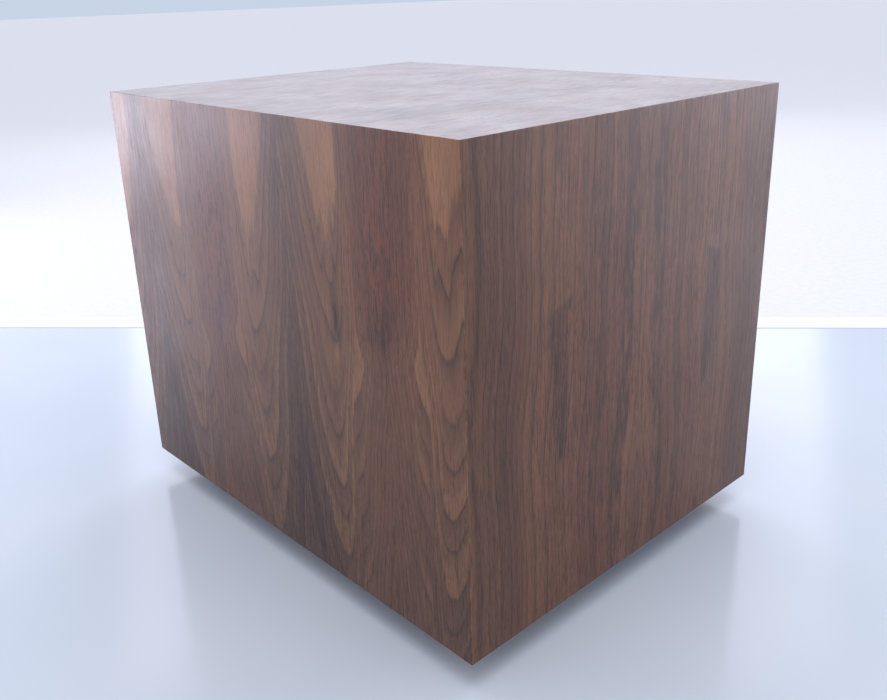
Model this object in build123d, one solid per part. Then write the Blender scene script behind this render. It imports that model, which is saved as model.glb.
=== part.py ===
from build123d import *
import math
import os

# A powered, down-firing subwoofer: a mitred cabinet veneered in walnut, on feet set well in under it, with
# its driver in the bottom baffle and its amplifier in the rear board.
# Millimetres, +Z up. The front is at -Y and the amplifier at +Y. The origin is on the floor, at the centre of
# the whole footprint, which includes what stands out behind the cabinet.

os.makedirs("parts", exist_ok=True)

# ---- cabinet ----
cabinet_width = 556.0
cabinet_depth = 440.0
cabinet_height = 440.0
floor_gap = 29.0            # from the floor to the lower edges of the walls
veneer_thickness = 0.6
board_thickness = 18.0
baffle_thickness = 25.0
baffle_recess = 16.0        # the baffle's underside above the lower edges of the walls
brace_thickness = 18.0
brace_offset = 166.0        # from the cabinet's middle to a brace's middle
brace_rim = 58.0            # the wood left round a brace's window
brace_corner = 30.0
cleat_leg = 20.0
wadding_thickness = 44.0
wadding_margin = 12.0       # from the wadding to the boards round it
wadding_wall_gap = 1.0

# ---- feet ----
foot_inset = 86.0           # from the walls' outer faces to a foot's axis
foot_top_radius = 24.0
foot_bottom_radius = 20.0
foot_edge_radius = 1.5
pad_radius = 16.0
pad_thickness = 6.0
pad_edge = 1.0
pad_seat_depth = 2.0        # how far the pad sits in the foot
foot_bore_depth = 18.0      # the counterbore for the screw's head
foot_bore_radius = 6.5

# ---- screws and inserts ----
screw_radius = 2.45         # M5, taken over its crests
screw_hole_radius = 2.9
screw_head_radius = 4.4
screw_head_height = 3.2
screw_key_radius = 1.7      # the hexagon in the head, to its corners
screw_key_depth = 1.8
insert_radius = 4.0
insert_bore_radius = 2.5
insert_length = 12.0
screw_grip = 10.0           # how much of a screw is in its insert

# ---- driver: heights are measured up from the front face of its flange ----
flange_rim = 14.0           # from the surround's lip to the flange's edge
flange_thickness = 6.0
flange_clearance = 1.0      # round the flange in the baffle's rebate
gasket_thickness = 2.0
cutout_clearance = 1.0      # round the basket where it passes through the baffle
screw_circle_inset = 7.0    # from the flange's edge to the screws' axes
driver_screw_count = 8
surround_seat_radius = 130.0
surround_seat_depth = 2.0
surround_lip = 10.0
surround_roll_radius = 11.0
surround_thickness = 1.4
cone_rim = 10.0             # the flat edge that the surround is glued to
cone_thickness = 1.2
cone_neck_height = 42.0
basket_wall = 5.0
basket_height = 90.0
basket_plate = 4.0
basket_top_radius = 86.0
basket_window_low = 12.0
basket_window_high = 54.0
basket_vent_low = 66.0
basket_vent_high = 82.0
spoke_count = 6
spoke_width = 17.0
spider_height = 58.0        # the front face of the ledge that the spider is glued to
spider_ledge_radius = 87.5
spider_ledge_thickness = 3.0
spider_roll_count = 5
spider_thickness = 0.8
spider_rim_gap = 0.5        # from the spider's edge to the basket's wall
coil_radius = 32.0          # outside of the former
former_thickness = 0.4
winding_thickness = 0.8
winding_height = 34.0
former_tail = 2.0           # the former beyond the winding
gap_inside = 0.8            # from the pole to the former
gap_outside = 1.2           # from the winding to the top plate
pole_vent_radius = 12.0
top_plate_thickness = 10.0
top_plate_radius = 76.0
bore_step = 11.0            # how much wider the magnet's and the basket's bores are than the top plate's
magnet_radius = 85.0
magnet_height = 30.0
back_plate_thickness = 10.0
yoke_edge = 3.0
dust_cap_overhang = 12.0    # beyond the former
dust_cap_rise = 12.0
dust_cap_thickness = 1.0
terminal_width = 34.0
terminal_low = 30.0
terminal_high = 44.0
terminal_stand = 6.2        # the block's outer face beyond the foot of its spoke
terminal_depth = 16.0
terminal_tab = (6.3, 8.0, 0.8)
terminal_spacing = 13.0
lead_radius = 0.9
lead_spacing = 26.0
lead_straight = 14.0        # straight out of the terminal block
lead_arch_run = 32.0        # to the top of the arch, and how high that is
lead_arch_rise = 7.0
lead_landing_run = 8.0      # the last stretch, down to the cone
lead_landing_rise = 11.0
lead_landing_gap = 1.0      # over the cone, where the braid is sewn in

# ---- amplifier: laid out on its plate, with x as in the row frame and z from the plate's middle ----
amp_plate_width = 240.0
amp_plate_height = 280.0
amp_plate_thickness = 3.0
amp_plate_corner = 5.0
amp_plate_clearance = 0.5
amp_gasket_thickness = 1.5
amp_plate_lap = 15.0        # how far the plate laps over the board round its opening
tub_clearance = 2.0
tub_depth = 92.0
tub_wall = 1.2
tub_flange = 12.0
plate_screw_inset = 7.0
plate_screw_radius = 1.6
plate_screw_length = 15.0
plate_screw_head_radius = 3.5
plate_screw_head_height = 2.0
tub_screw_radius = 1.4
tub_screw_length = 8.0
tub_screw_head_radius = 2.7
tub_screw_head_height = 1.6
tub_screw_columns = (-80.0, 0.0, 80.0)
small_screw_clearance = 0.3
heat_sink_width = 200.0
heat_sink_height = 84.0
heat_sink_inset = 34.0      # from the plate's upper edge
heat_sink_base = 4.0
fin_height = 14.0
fin_thickness = 2.0
fin_count = 25
control_drop = 34.0         # from the heat sink to the row of knobs, the toggle and the light
level_x = 78.0
crossover_x = 20.0
toggle_x = -36.0
light_x = -82.0
socket_rise = 70.0          # from the plate's lower edge
socket_columns = (92.0, 68.0, 44.0, 20.0)
inlet_x = -34.0
inlet_rise = 56.0
rocker_x = -86.0
rocker_rise = 56.0

# ---- controls and connectors: lengths outwards are from the plate's outer face ----
knob_radius = 10.0
knob_gap = 3.0
knob_length = 15.0
knob_edge_radius = 1.0
knob_flute_count = 20
knob_flute_radius = 0.9
knob_mark_width = 1.2
knob_mark_depth = 0.6
shaft_radius = 3.0
shaft_clearance = 0.05
shaft_reach = 13.0
pot_radius = 8.5
pot_depth = 9.0
bush_radius = 3.6
bush_reach = 2.4
bush_clearance = 0.1
toggle_body = (13.0, 8.0, 10.0)
toggle_bush_radius = 3.1
toggle_bore_radius = 2.2
toggle_bush_reach = 5.0
toggle_ball_radius = 1.8
toggle_pivot = 3.6
toggle_reach = 11.0
toggle_root_radius = 1.0
toggle_tip_radius = 1.5
toggle_angle = 12.0         # either side of square
rocker_bezel = (21.0, 28.0, 2.0)
rocker_bezel_corner = 2.0
rocker_body = (18.6, 25.6, 20.0)
rocker_window = (15.2, 22.6)
rocker_well = 12.0
rocker_half_length = 10.2
rocker_width = 14.4
rocker_ends = 4.0
rocker_middle = 1.8
rocker_underside = 3.0
rocker_pivot = 0.6
rocker_angle = 10.0         # either side of square
inlet_bezel = (48.0, 46.0, 2.5)
inlet_bezel_corner = 3.0
inlet_body = (30.0, 42.0, 30.0)
inlet_well = (24.4, 16.6, 18.0)
inlet_well_offset = 9.0
inlet_corner_cut = 5.0
inlet_pin = (2.3, 4.0, 12.0)
inlet_pin_spacing = 14.0
inlet_earth_rise = 4.0
drawer_size = (24.0, 9.0, 26.0)
drawer_offset = -11.5
drawer_clearance = 0.4
drawer_lip = 1.5
drawer_wall = 1.2
socket_radius = 4.15
socket_bore_radius = 1.7
socket_length = 8.0
socket_nut_radius = 6.4
socket_nut_height = 2.2
socket_tail_radius = 3.4
socket_tail = 9.0
light_radius = 1.5
light_reach = 2.4
light_dome_radius = 1.2
light_flange_radius = 2.6
light_flange = 0.8
light_tail = 4.0

# ---- inside the tub: depths are measured inwards from the plate's inner face ----
board_width = 184.0
board_height = 108.0
board_gap = 4.5             # from the potentiometers up to the board
board_depth = 30.0
circuit_board_thickness = 1.6
pillar_radius = 3.0
pillar_inset = 8.0
capacitor_radius = 15.0
capacitor_length = 40.0
capacitor_edge_radius = 1.5
capacitor_spacing = 80.0
capacitor_rise = 23.0       # from the board's middle
transformer_radius = 48.0
transformer_bore_radius = 18.0
transformer_height = 40.0
transformer_edge_radius = 8.0
transformer_gap = 7.0       # from the tub's lower side
clamp_radius = 30.0
clamp_thickness = 2.0
clamp_bolt_radius = 3.0
clamp_head_radius = 5.5
clamp_head_height = 4.0
clamp_nut_height = 5.0
wire_radius = 1.6
wire_exit_inset = 34.0      # from the plate's inner face to where the driver's wires leave the tub
wire_level_share = 0.45     # of the way back, before the wires start to climb
wire_climb_share = 0.35     # of the climb, before they turn straight up

# ---- worked out from the sizes above ----
wall = board_thickness + veneer_thickness
rear_reach = max(heat_sink_base + fin_height, knob_gap + knob_length)
front_y = -(cabinet_depth + rear_reach) / 2
rear_y = front_y + cabinet_depth
middle_y = (front_y + rear_y) / 2
middle_z = floor_gap + cabinet_height / 2
inner_x = cabinet_width / 2 - wall
inner_front_y = front_y + wall
inner_rear_y = rear_y - wall
baffle_z = floor_gap + baffle_recess
baffle_top = baffle_z + baffle_thickness
ceiling_z = floor_gap + cabinet_height - wall
plate_outer_y = rear_y
plate_inner_y = rear_y - amp_plate_thickness
rebate_y = plate_inner_y - amp_gasket_thickness
amp_opening_width = amp_plate_width - 2 * amp_plate_lap
amp_opening_height = amp_plate_height - 2 * amp_plate_lap
heat_sink_z = amp_plate_height / 2 - heat_sink_inset - heat_sink_height / 2
control_z = heat_sink_z - heat_sink_height / 2 - control_drop
socket_z = socket_rise - amp_plate_height / 2
inlet_z = inlet_rise - amp_plate_height / 2
rocker_z = rocker_rise - amp_plate_height / 2
tub_width = amp_opening_width - 2 * tub_clearance
tub_height = amp_opening_height - 2 * tub_clearance
tub_back_y = plate_inner_y - tub_depth
board_z = control_z + pot_radius + board_gap + board_height / 2
capacitor_z = board_z + capacitor_rise
transformer_z = transformer_gap + transformer_radius - tub_height / 2
cone_radius = surround_seat_radius - 2 * surround_roll_radius
basket_root_radius = surround_seat_radius + basket_wall
cutout_radius = basket_root_radius + basket_wall + cutout_clearance
flange_radius = surround_seat_radius + surround_lip + flange_rim
screw_circle_radius = flange_radius - screw_circle_inset
pole_radius = coil_radius - former_thickness - gap_inside
top_plate_bore_radius = coil_radius + winding_thickness + gap_outside
magnet_bore_radius = top_plate_bore_radius + bore_step
basket_bore_radius = top_plate_bore_radius + bore_step
dust_cap_radius = coil_radius + dust_cap_overhang
magnet_front = basket_height
winding_middle = basket_height + top_plate_thickness / 2
former_back = winding_middle + winding_height / 2 + former_tail
back_plate_front = basket_height + top_plate_thickness + magnet_height
MORE = 1.0                  # how far a cutting shape runs past what it cuts


# ---- plain shapes ----
def block(x_from, x_to, y_from, y_to, z_from, z_to):
    """A box between two corners."""
    centre = Pos((x_from + x_to) / 2, (y_from + y_to) / 2, (z_from + z_to) / 2)
    return centre * Box(x_to - x_from, y_to - y_from, z_to - z_from)


def upright(radius, x, y, z_from, z_to):
    """A cylinder along Z."""
    return Pos(x, y, (z_from + z_to) / 2) * Cylinder(radius, z_to - z_from)


def rod(radius, x, z, y_from, y_to):
    """A cylinder along Y."""
    return Pos(x, (y_from + y_to) / 2, z) * Rot(90, 0, 0) * Cylinder(radius, y_to - y_from)


def slab(size, x, z, y_from, y_to):
    """A plate square to Y, with its size given along X and Z."""
    return Pos(x, (y_from + y_to) / 2, z) * Box(size[0], y_to - y_from, size[1])


def turned(outline):
    """A closed outline of (radius, height) points, turned round the driver's axis above the flange's face."""
    face = make_face(Polyline(*[(r, 0, h) for r, h in outline], close=True))
    return Pos(0, middle_y, baffle_z) * revolve(face, Axis.Z)


def half_roll(middle_radius, height, roll_radius, thickness, side):
    """A ring of half-round section. Side is 1 where it bulges up and -1 where it bulges down."""
    ring = Circle(roll_radius + thickness / 2) - Circle(roll_radius - thickness / 2)
    reach = roll_radius + thickness
    half = ring & (Pos(0, side * reach / 2) * Rectangle(2 * reach, reach))
    section = Plane.XZ * (Pos(middle_radius, height) * half)
    return Pos(0, middle_y, baffle_z) * revolve(section, Axis.Z)


def ring_places(count, radius):
    """Places evenly round the driver's axis, the first of them half a step from +X."""
    angles = [math.radians((i + 0.5) * 360 / count) for i in range(count)]
    return [(radius * math.cos(a), middle_y + radius * math.sin(a)) for a in angles]


def group(solids):
    """Several separate solids in one sub-part."""
    return Compound(children=[s for part in solids for s in part.solids()])


# ---- cabinet ----
def mitred_board(width, height, thickness, square_foot):
    """A board with its outer face at z = 0, mitred inwards all round, or square at its lower edge."""
    across = [(-width / 2, 0), (width / 2, 0), (width / 2 - thickness, -thickness),
              (thickness - width / 2, -thickness)]
    foot = -height / 2 if square_foot else thickness - height / 2
    along = [(-height / 2, 0), (height / 2, 0), (height / 2 - thickness, -thickness), (foot, -thickness)]
    plan = make_face(Polyline(*[(a, 0, z) for a, z in across], close=True))
    side = make_face(Polyline(*[(0, a, z) for a, z in along], close=True))
    return extrude(plan, height / 2, both=True) & extrude(side, width / 2, both=True)


def facing(x, y, z, x_dir, z_dir, width, height):
    """A wall's outer face as a plane, with the wall's width and height."""
    return Plane((x, y, z), x_dir=x_dir, z_dir=z_dir), width, height


half_width = cabinet_width / 2
cabinet_top = floor_gap + cabinet_height
WALLS = {
    "front": facing(0, front_y, middle_z, (1, 0, 0), (0, -1, 0), cabinet_width, cabinet_height),
    "rear": facing(0, rear_y, middle_z, (-1, 0, 0), (0, 1, 0), cabinet_width, cabinet_height),
    "left": facing(-half_width, middle_y, middle_z, (0, -1, 0), (-1, 0, 0), cabinet_depth, cabinet_height),
    "right": facing(half_width, middle_y, middle_z, (0, 1, 0), (1, 0, 0), cabinet_depth, cabinet_height),
    "top": facing(0, middle_y, cabinet_top, (1, 0, 0), (0, 0, 1), cabinet_width, cabinet_depth),
}


def amp_rebate(depth_to):
    """What the amplifier's plate and gasket take out of the rear wall, down to a given y."""
    size = (amp_plate_width + 2 * amp_plate_clearance, amp_plate_height + 2 * amp_plate_clearance)
    return slab(size, 0, middle_z, depth_to, rear_y + MORE)


def veneer(name):
    plane, width, height = WALLS[name]
    skin = plane * mitred_board(width, height, veneer_thickness, name != "top")
    if name == "rear":
        skin -= amp_rebate(rear_y - veneer_thickness - MORE)
    return skin


def panel(name):
    plane, width, height = WALLS[name]
    lost = 2 * veneer_thickness if name == "top" else veneer_thickness
    drop = 0 if name == "top" else veneer_thickness / 2
    middle = plane.origin - plane.z_dir * veneer_thickness - Vector(0, 0, drop)
    seat = Plane(middle, x_dir=plane.x_dir, z_dir=plane.z_dir)
    core = seat * mitred_board(width - 2 * veneer_thickness, height - lost, board_thickness, name != "top")
    if name == "rear":
        core -= amp_rebate(rebate_y)
        core -= slab((amp_opening_width, amp_opening_height), 0, middle_z, inner_rear_y - MORE, rear_y)
        for x, z in plate_screw_places():
            core -= rod(plate_screw_radius, x, z, plate_outer_y - plate_screw_length, rear_y)
    return core


def bottom_baffle():
    board = block(-inner_x, inner_x, inner_front_y, inner_rear_y, baffle_z, baffle_top)
    rebate = flange_thickness + gasket_thickness
    board -= upright(flange_radius + flange_clearance, 0, middle_y, baffle_z - MORE, baffle_z + rebate)
    board -= upright(cutout_radius, 0, middle_y, baffle_z, baffle_top + MORE)
    for x, y, z in insert_places():
        board -= upright(insert_radius, x, y, z, z + insert_length)
    return board


def window_brace(side):
    x = side * brace_offset
    half = brace_thickness / 2
    board = block(x - half, x + half, inner_front_y, inner_rear_y, baffle_top, ceiling_z)
    deep = inner_rear_y - inner_front_y - 2 * brace_rim
    tall = ceiling_z - baffle_top - 2 * brace_rim
    window = extrude(Plane.YZ * RectangleRounded(deep, tall, brace_corner), brace_thickness, both=True)
    return board - Pos(x, middle_y, (baffle_top + ceiling_z) / 2) * window


def corner_cleats():
    cleats = []
    for sx in (-1, 1):
        for y, sy in ((inner_front_y, 1), (inner_rear_y, -1)):
            corner = (sx * inner_x, y, baffle_top)
            beside = (sx * (inner_x - cleat_leg), y, baffle_top)
            behind = (sx * inner_x, y + sy * cleat_leg, baffle_top)
            face = make_face(Polyline(corner, beside, behind, close=True))
            cleats.append(extrude(face, ceiling_z - baffle_top, dir=(0, 0, 1)))
    return group(cleats)


def wadding():
    """A flat pad against each side wall, kept off the boards round it."""
    pads = []
    for side in (-1, 1):
        x_wall = side * (inner_x - wadding_wall_gap)
        x_free = side * (inner_x - wadding_thickness)
        edge = cleat_leg + wadding_margin
        pad = block(min(x_wall, x_free), max(x_wall, x_free), inner_front_y + edge, inner_rear_y - edge,
                    baffle_top + wadding_margin, ceiling_z - wadding_margin)
        pads.append(fillet(pad.edges(), wadding_margin / 2))
    return group(pads)


# ---- feet ----
FEET = {
    "foot_front_left": (-1, -1), "foot_front_right": (1, -1),
    "foot_rear_left": (-1, 1), "foot_rear_right": (1, 1),
}


def foot_place(side, end):
    return side * (cabinet_width / 2 - foot_inset), middle_y + end * (cabinet_depth / 2 - foot_inset)


def foot(name):
    x, y = foot_place(*FEET[name])
    low = pad_thickness - pad_seat_depth
    height = baffle_z - low
    body = Pos(x, y, (low + baffle_z) / 2) * Cone(foot_bottom_radius, foot_top_radius, height)
    body = fillet(body.edges().sort_by(Axis.Z)[0], foot_edge_radius)
    body -= upright(pad_radius, x, y, low - MORE, pad_thickness)
    body -= upright(foot_bore_radius, x, y, low, low + foot_bore_depth)
    return body - upright(screw_hole_radius, x, y, low, baffle_z + MORE)


def foot_pads():
    pads = []
    for where in FEET.values():
        x, y = foot_place(*where)
        disc = upright(pad_radius, x, y, 0, pad_thickness)
        disc = chamfer(disc.edges().sort_by(Axis.Z)[0], pad_edge)
        pads.append(disc - upright(foot_bore_radius, x, y, -MORE, pad_thickness + MORE))
    return group(pads)


def screw_up(x, y, seat_z, length):
    """A socket-head screw that points up, its head under seat_z."""
    head = upright(screw_head_radius, x, y, seat_z - screw_head_height, seat_z)
    head = fillet(head.edges().sort_by(Axis.Z)[0], screw_head_height / 4)
    key = extrude(RegularPolygon(screw_key_radius, 6), screw_key_depth)
    head -= Pos(x, y, seat_z - screw_head_height) * key
    return head + upright(screw_radius, x, y, seat_z, seat_z + length)


def foot_screws():
    seat = pad_thickness - pad_seat_depth + foot_bore_depth
    places = [foot_place(*where) for where in FEET.values()]
    return group([screw_up(x, y, seat, baffle_z - seat + screw_grip) for x, y in places])


def insert_places():
    """Each insert's axis and its lower end: one over each foot and one for each of the driver's screws."""
    feet = [(*foot_place(*where), baffle_z) for where in FEET.values()]
    seat = baffle_z + flange_thickness + gasket_thickness
    return feet + [(x, y, seat) for x, y in ring_places(driver_screw_count, screw_circle_radius)]


def threaded_inserts():
    inserts = []
    for x, y, z in insert_places():
        bore = upright(insert_bore_radius, x, y, z - MORE, z + insert_length + MORE)
        inserts.append(upright(insert_radius, x, y, z, z + insert_length) - bore)
    return group(inserts)


# ---- driver ----
def basket_windows(low, high):
    """The gaps between the spokes, from one height to another."""
    ring = turned([(basket_bore_radius, low), (flange_radius, low), (flange_radius, high),
                   (basket_bore_radius, high)])
    for i in range(spoke_count):
        turn = Pos(0, middle_y, 0) * Rot(0, 0, 90 + i * 360 / spoke_count)
        ring -= turn * block(0, flange_radius + MORE, -spoke_width / 2, spoke_width / 2,
                             baffle_z, baffle_z + basket_height)
    return ring


def driver_basket():
    lip_radius = surround_seat_radius + surround_lip
    root = basket_root_radius
    plate_front = basket_height - basket_plate
    body = turned([
        (surround_seat_radius, surround_seat_depth), (lip_radius, surround_seat_depth), (lip_radius, 0),
        (flange_radius, 0), (flange_radius, flange_thickness), (root + basket_wall, flange_thickness),
        (basket_top_radius, plate_front), (basket_top_radius, basket_height),
        (basket_bore_radius, basket_height), (basket_bore_radius, plate_front),
        (basket_top_radius - basket_wall, plate_front), (root, flange_thickness),
        (surround_seat_radius, flange_thickness),
    ])
    body -= basket_windows(basket_window_low, basket_window_high)
    body -= basket_windows(basket_vent_low, basket_vent_high)
    body += spider_ledge()
    for x, y in ring_places(driver_screw_count, screw_circle_radius):
        body -= upright(screw_hole_radius, x, y, baffle_z - MORE, baffle_z + flange_thickness + MORE)
    return body


def basket_inner_radius(height):
    """The inside of the basket's wall at a height."""
    low, high = flange_thickness, basket_height - basket_plate
    share = (height - low) / (high - low)
    narrow = basket_top_radius - basket_wall
    return basket_root_radius + share * (narrow - basket_root_radius)


def terminal_radius():
    """The outer face of the terminal block, from the driver's axis."""
    return basket_inner_radius(terminal_low) + basket_wall + terminal_stand


def spider_ledge():
    top = spider_height + spider_ledge_thickness
    buried = basket_wall / 2
    return turned([
        (spider_ledge_radius, spider_height), (basket_inner_radius(spider_height) + buried, spider_height),
        (basket_inner_radius(top) + buried, top), (spider_ledge_radius, top),
    ])


def driver_gasket():
    low = flange_thickness
    ring = turned([(cutout_radius, low), (flange_radius, low), (flange_radius, low + gasket_thickness),
                   (cutout_radius, low + gasket_thickness)])
    for x, y in ring_places(driver_screw_count, screw_circle_radius):
        ring -= upright(screw_hole_radius, x, y, baffle_z, baffle_top)
    return ring


def driver_screws():
    length = flange_thickness + gasket_thickness + screw_grip
    places = ring_places(driver_screw_count, screw_circle_radius)
    return group([screw_up(x, y, baffle_z, length) for x, y in places])


def surround():
    """Two flat lips, one on the flange and one on the cone's rim, joined by a half roll that bulges down."""
    back = surround_seat_depth
    front = back - surround_thickness
    outer = turned([(surround_seat_radius, front), (surround_seat_radius + surround_lip, front),
                    (surround_seat_radius + surround_lip, back), (surround_seat_radius, back)])
    inner = turned([(cone_radius - cone_rim, front), (cone_radius, front), (cone_radius, back),
                    (cone_radius - cone_rim, back)])
    middle = (cone_radius + surround_seat_radius) / 2
    mid_height = (front + back) / 2
    roll = half_roll(middle, mid_height, surround_roll_radius, surround_thickness, -1)
    return outer + roll + inner


def cone():
    front = surround_seat_depth
    shoulder = cone_radius - cone_rim
    return turned([
        (cone_radius, front), (cone_radius, front + cone_thickness), (shoulder, front + cone_thickness),
        (coil_radius, cone_neck_height), (coil_radius, cone_neck_height - cone_thickness), (shoulder, front),
    ])


def cone_front(radius):
    """The height of the cone's front face at a radius."""
    shoulder = cone_radius - cone_rim
    rise = cone_neck_height - cone_thickness - surround_seat_depth
    return surround_seat_depth + rise * (shoulder - radius) / (shoulder - coil_radius)


def dust_cap():
    """A dome over the neck, bulging down, with its edge on the cone."""
    edge = cone_front(dust_cap_radius) - dust_cap_thickness
    bulge = (dust_cap_radius ** 2 + dust_cap_rise ** 2) / (2 * dust_cap_rise)
    centre = edge - dust_cap_rise + bulge
    ring = Circle(bulge) - Circle(bulge - dust_cap_thickness)
    window = Pos(dust_cap_radius / 2, edge - dust_cap_rise / 2) * Rectangle(dust_cap_radius, dust_cap_rise)
    section = Plane.XZ * (window & (Pos(0, centre) * ring))
    return Pos(0, middle_y, baffle_z) * revolve(section, Axis.Z)


def voice_coil():
    """The former, from the cone's neck into the gap, with the winding round it."""
    neck = cone_neck_height - cone_thickness
    inner = coil_radius - former_thickness
    low, high = winding_middle - winding_height / 2, winding_middle + winding_height / 2
    return turned([
        (inner, neck), (coil_radius, neck), (coil_radius, low), (coil_radius + winding_thickness, low),
        (coil_radius + winding_thickness, high), (coil_radius, high), (coil_radius, former_back),
        (inner, former_back),
    ])


def spider():
    """A flat lip on the basket's ledge and half rolls, up and down by turns, in to the former."""
    back = spider_height
    middle = back - spider_thickness / 2
    outline = [(spider_ledge_radius, back - spider_thickness), (spider_ledge_radius, back)]
    rim = basket_inner_radius(spider_height) - spider_rim_gap
    disc = turned(outline + [(rim, back), (rim, back - spider_thickness)])
    roll_radius = (spider_ledge_radius - coil_radius) / (2 * spider_roll_count)
    for i in range(spider_roll_count):
        centre = spider_ledge_radius - (2 * i + 1) * roll_radius
        disc += half_roll(centre, middle, roll_radius, spider_thickness, -1 if i % 2 == 0 else 1)
    return disc - upright(coil_radius, 0, middle_y, baffle_z, baffle_z + basket_height)


def magnet_top_plate():
    low, high = magnet_front, magnet_front + top_plate_thickness
    return turned([(top_plate_bore_radius, low), (top_plate_radius, low), (top_plate_radius, high),
                   (top_plate_bore_radius, high)])


def magnet_ring():
    low, high = magnet_front + top_plate_thickness, back_plate_front
    return turned([(magnet_bore_radius, low), (magnet_radius, low), (magnet_radius, high),
                   (magnet_bore_radius, high)])


def magnet_yoke():
    """The back plate and the vented pole in one."""
    front, back = back_plate_front, back_plate_front + back_plate_thickness
    return turned([
        (pole_vent_radius, magnet_front), (pole_radius, magnet_front), (pole_radius, front),
        (top_plate_radius, front), (top_plate_radius, back - yoke_edge),
        (top_plate_radius - yoke_edge, back), (pole_vent_radius, back),
    ])


def driver_terminals(basket):
    """A block seated on the rear spoke, with two flat tabs that point away from the driver."""
    outer_y = middle_y + terminal_radius()
    low, high = baffle_z + terminal_low, baffle_z + terminal_high
    body = block(-terminal_width / 2, terminal_width / 2, outer_y - terminal_depth, outer_y, low, high)
    wide, long, thick = terminal_tab
    z = (low + high) / 2
    tabs = []
    for side in (-1, 1):
        x = side * terminal_spacing / 2
        left, right = x - wide / 2, x + wide / 2
        tabs.append(block(left, right, outer_y, outer_y + long, z - thick / 2, z + thick / 2))
    return group([body - basket] + tabs)


def swept(points, radius, fraction=0.45):
    """A round wire along straight runs joined by arcs, each arc as large as its two runs allow."""
    runs = [Vector(b) - Vector(a) for a, b in zip(points, points[1:])]
    radii = []
    for one, two in zip(runs, runs[1:]):
        half_turn = math.radians(one.get_angle(two)) / 2
        radii.append(fraction * min(one.length, two.length) / math.tan(half_turn))
    path = FilletPolyline(*points, radius=radii)
    print("arc radii", [round(r, 1) for r in radii], "length", round(path.length, 1))
    start = Plane(points[0], z_dir=runs[0])
    return sweep(start * Circle(radius), path=path)


def tinsel_leads():
    """Two slack braids from the terminal block through the basket's windows to the back of the cone."""
    start_y = middle_y + terminal_radius() - terminal_depth
    middle = baffle_z + (terminal_low + terminal_high) / 2
    leads = []
    for side in (-1, 1):
        x = side * lead_spacing / 2
        end_y = middle_y + cone_radius / 2
        end_z = baffle_z + cone_front(cone_radius / 2) + cone_thickness + 2 * lead_radius + lead_landing_gap
        points = [(x, start_y, middle), (x, start_y - lead_straight, middle),
                  (x, start_y - lead_arch_run, middle + lead_arch_rise),
                  (x, end_y + lead_landing_run, end_z + lead_landing_rise), (x, end_y, end_z)]
        leads.append(swept(points, lead_radius))
    return group(leads)


def driver_wires():
    """The pair from the terminal tabs up into the floor of the amplifier's tub."""
    start_y = middle_y + terminal_radius() + terminal_tab[1]
    start_z = baffle_z + (terminal_low + terminal_high) / 2
    end_y = plate_inner_y - wire_exit_inset
    floor_z = middle_z - tub_height / 2
    wires = []
    for side in (-1, 1):
        x = side * terminal_spacing / 2
        points = [(x, start_y, start_z),
                  (x, start_y + wire_level_share * (end_y - start_y), start_z),
                  (x, end_y, start_z + wire_climb_share * (floor_z - start_z)),
                  (x, end_y, floor_z + 2 * tub_wall)]
        wires.append(swept(points, wire_radius))
    return group(wires)


# ---- amplifier ----
def plate_screw_places():
    """Four along the top and the bottom, two more down each side."""
    half_x = amp_plate_width / 2 - plate_screw_inset
    half_z = amp_plate_height / 2 - plate_screw_inset
    places = [(half_x * fx, half_z * fz) for fx in (-1, -1 / 3, 1 / 3, 1) for fz in (-1, 1)]
    places += [(half_x * fx, half_z * fz) for fx in (-1, 1) for fz in (-1 / 3, 1 / 3)]
    return [(x, middle_z + z) for x, z in places]


def tub_screw_places():
    row = tub_height / 2 - tub_flange / 2
    return [(x, middle_z + z) for x in tub_screw_columns for z in (-row, row)]


def amp_plate():
    face = RectangleRounded(amp_plate_width, amp_plate_height, amp_plate_corner)
    inner_face = Plane((0, plate_inner_y, middle_z), x_dir=(-1, 0, 0), z_dir=(0, 1, 0))
    plate = inner_face * extrude(face, amp_plate_thickness)
    low, high = plate_inner_y - MORE, plate_outer_y + MORE
    for x, z in plate_screw_places():
        plate -= rod(plate_screw_radius + small_screw_clearance, x, z, low, high)
    for x, z in tub_screw_places():
        plate -= rod(tub_screw_radius + small_screw_clearance, x, z, low, high)
    for x in (level_x, crossover_x):
        plate -= rod(bush_radius + bush_clearance, x, middle_z + control_z, low, high)
    plate -= rod(toggle_bush_radius + bush_clearance, toggle_x, middle_z + control_z, low, high)
    plate -= rod(light_radius + bush_clearance, light_x, middle_z + control_z, low, high)
    for x in socket_columns:
        plate -= rod(socket_tail_radius + bush_clearance, x, middle_z + socket_z, low, high)
    plate -= slab(inlet_body[:2], inlet_x, middle_z + inlet_z, low, high)
    return plate - slab(rocker_body[:2], rocker_x, middle_z + rocker_z, low, high)


def amp_gasket():
    ring = slab((amp_plate_width, amp_plate_height), 0, middle_z, rebate_y, plate_inner_y)
    ring -= slab((amp_opening_width, amp_opening_height), 0, middle_z, rebate_y - MORE, plate_inner_y + MORE)
    for x, z in plate_screw_places():
        ring -= rod(plate_screw_radius + small_screw_clearance, x, z, rebate_y - MORE, plate_inner_y + MORE)
    return ring


def wood_screw(x, z, radius, length, head_radius, head_height):
    """A screw that points into the cabinet, its head on the plate."""
    head = rod(head_radius, x, z, plate_outer_y, plate_outer_y + head_height)
    head = fillet(head.edges().sort_by(Axis.Y)[-1], head_height / 2)
    slot = head_height / 2
    for size in ((head_radius, slot), (slot, head_radius)):
        head -= slab(size, x, z, plate_outer_y + slot, plate_outer_y + head_height + MORE)
    return head + rod(radius, x, z, plate_outer_y - length, plate_outer_y)


def plate_screws():
    return group([wood_screw(x, z, plate_screw_radius, plate_screw_length, plate_screw_head_radius,
                             plate_screw_head_height) for x, z in plate_screw_places()])


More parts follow.
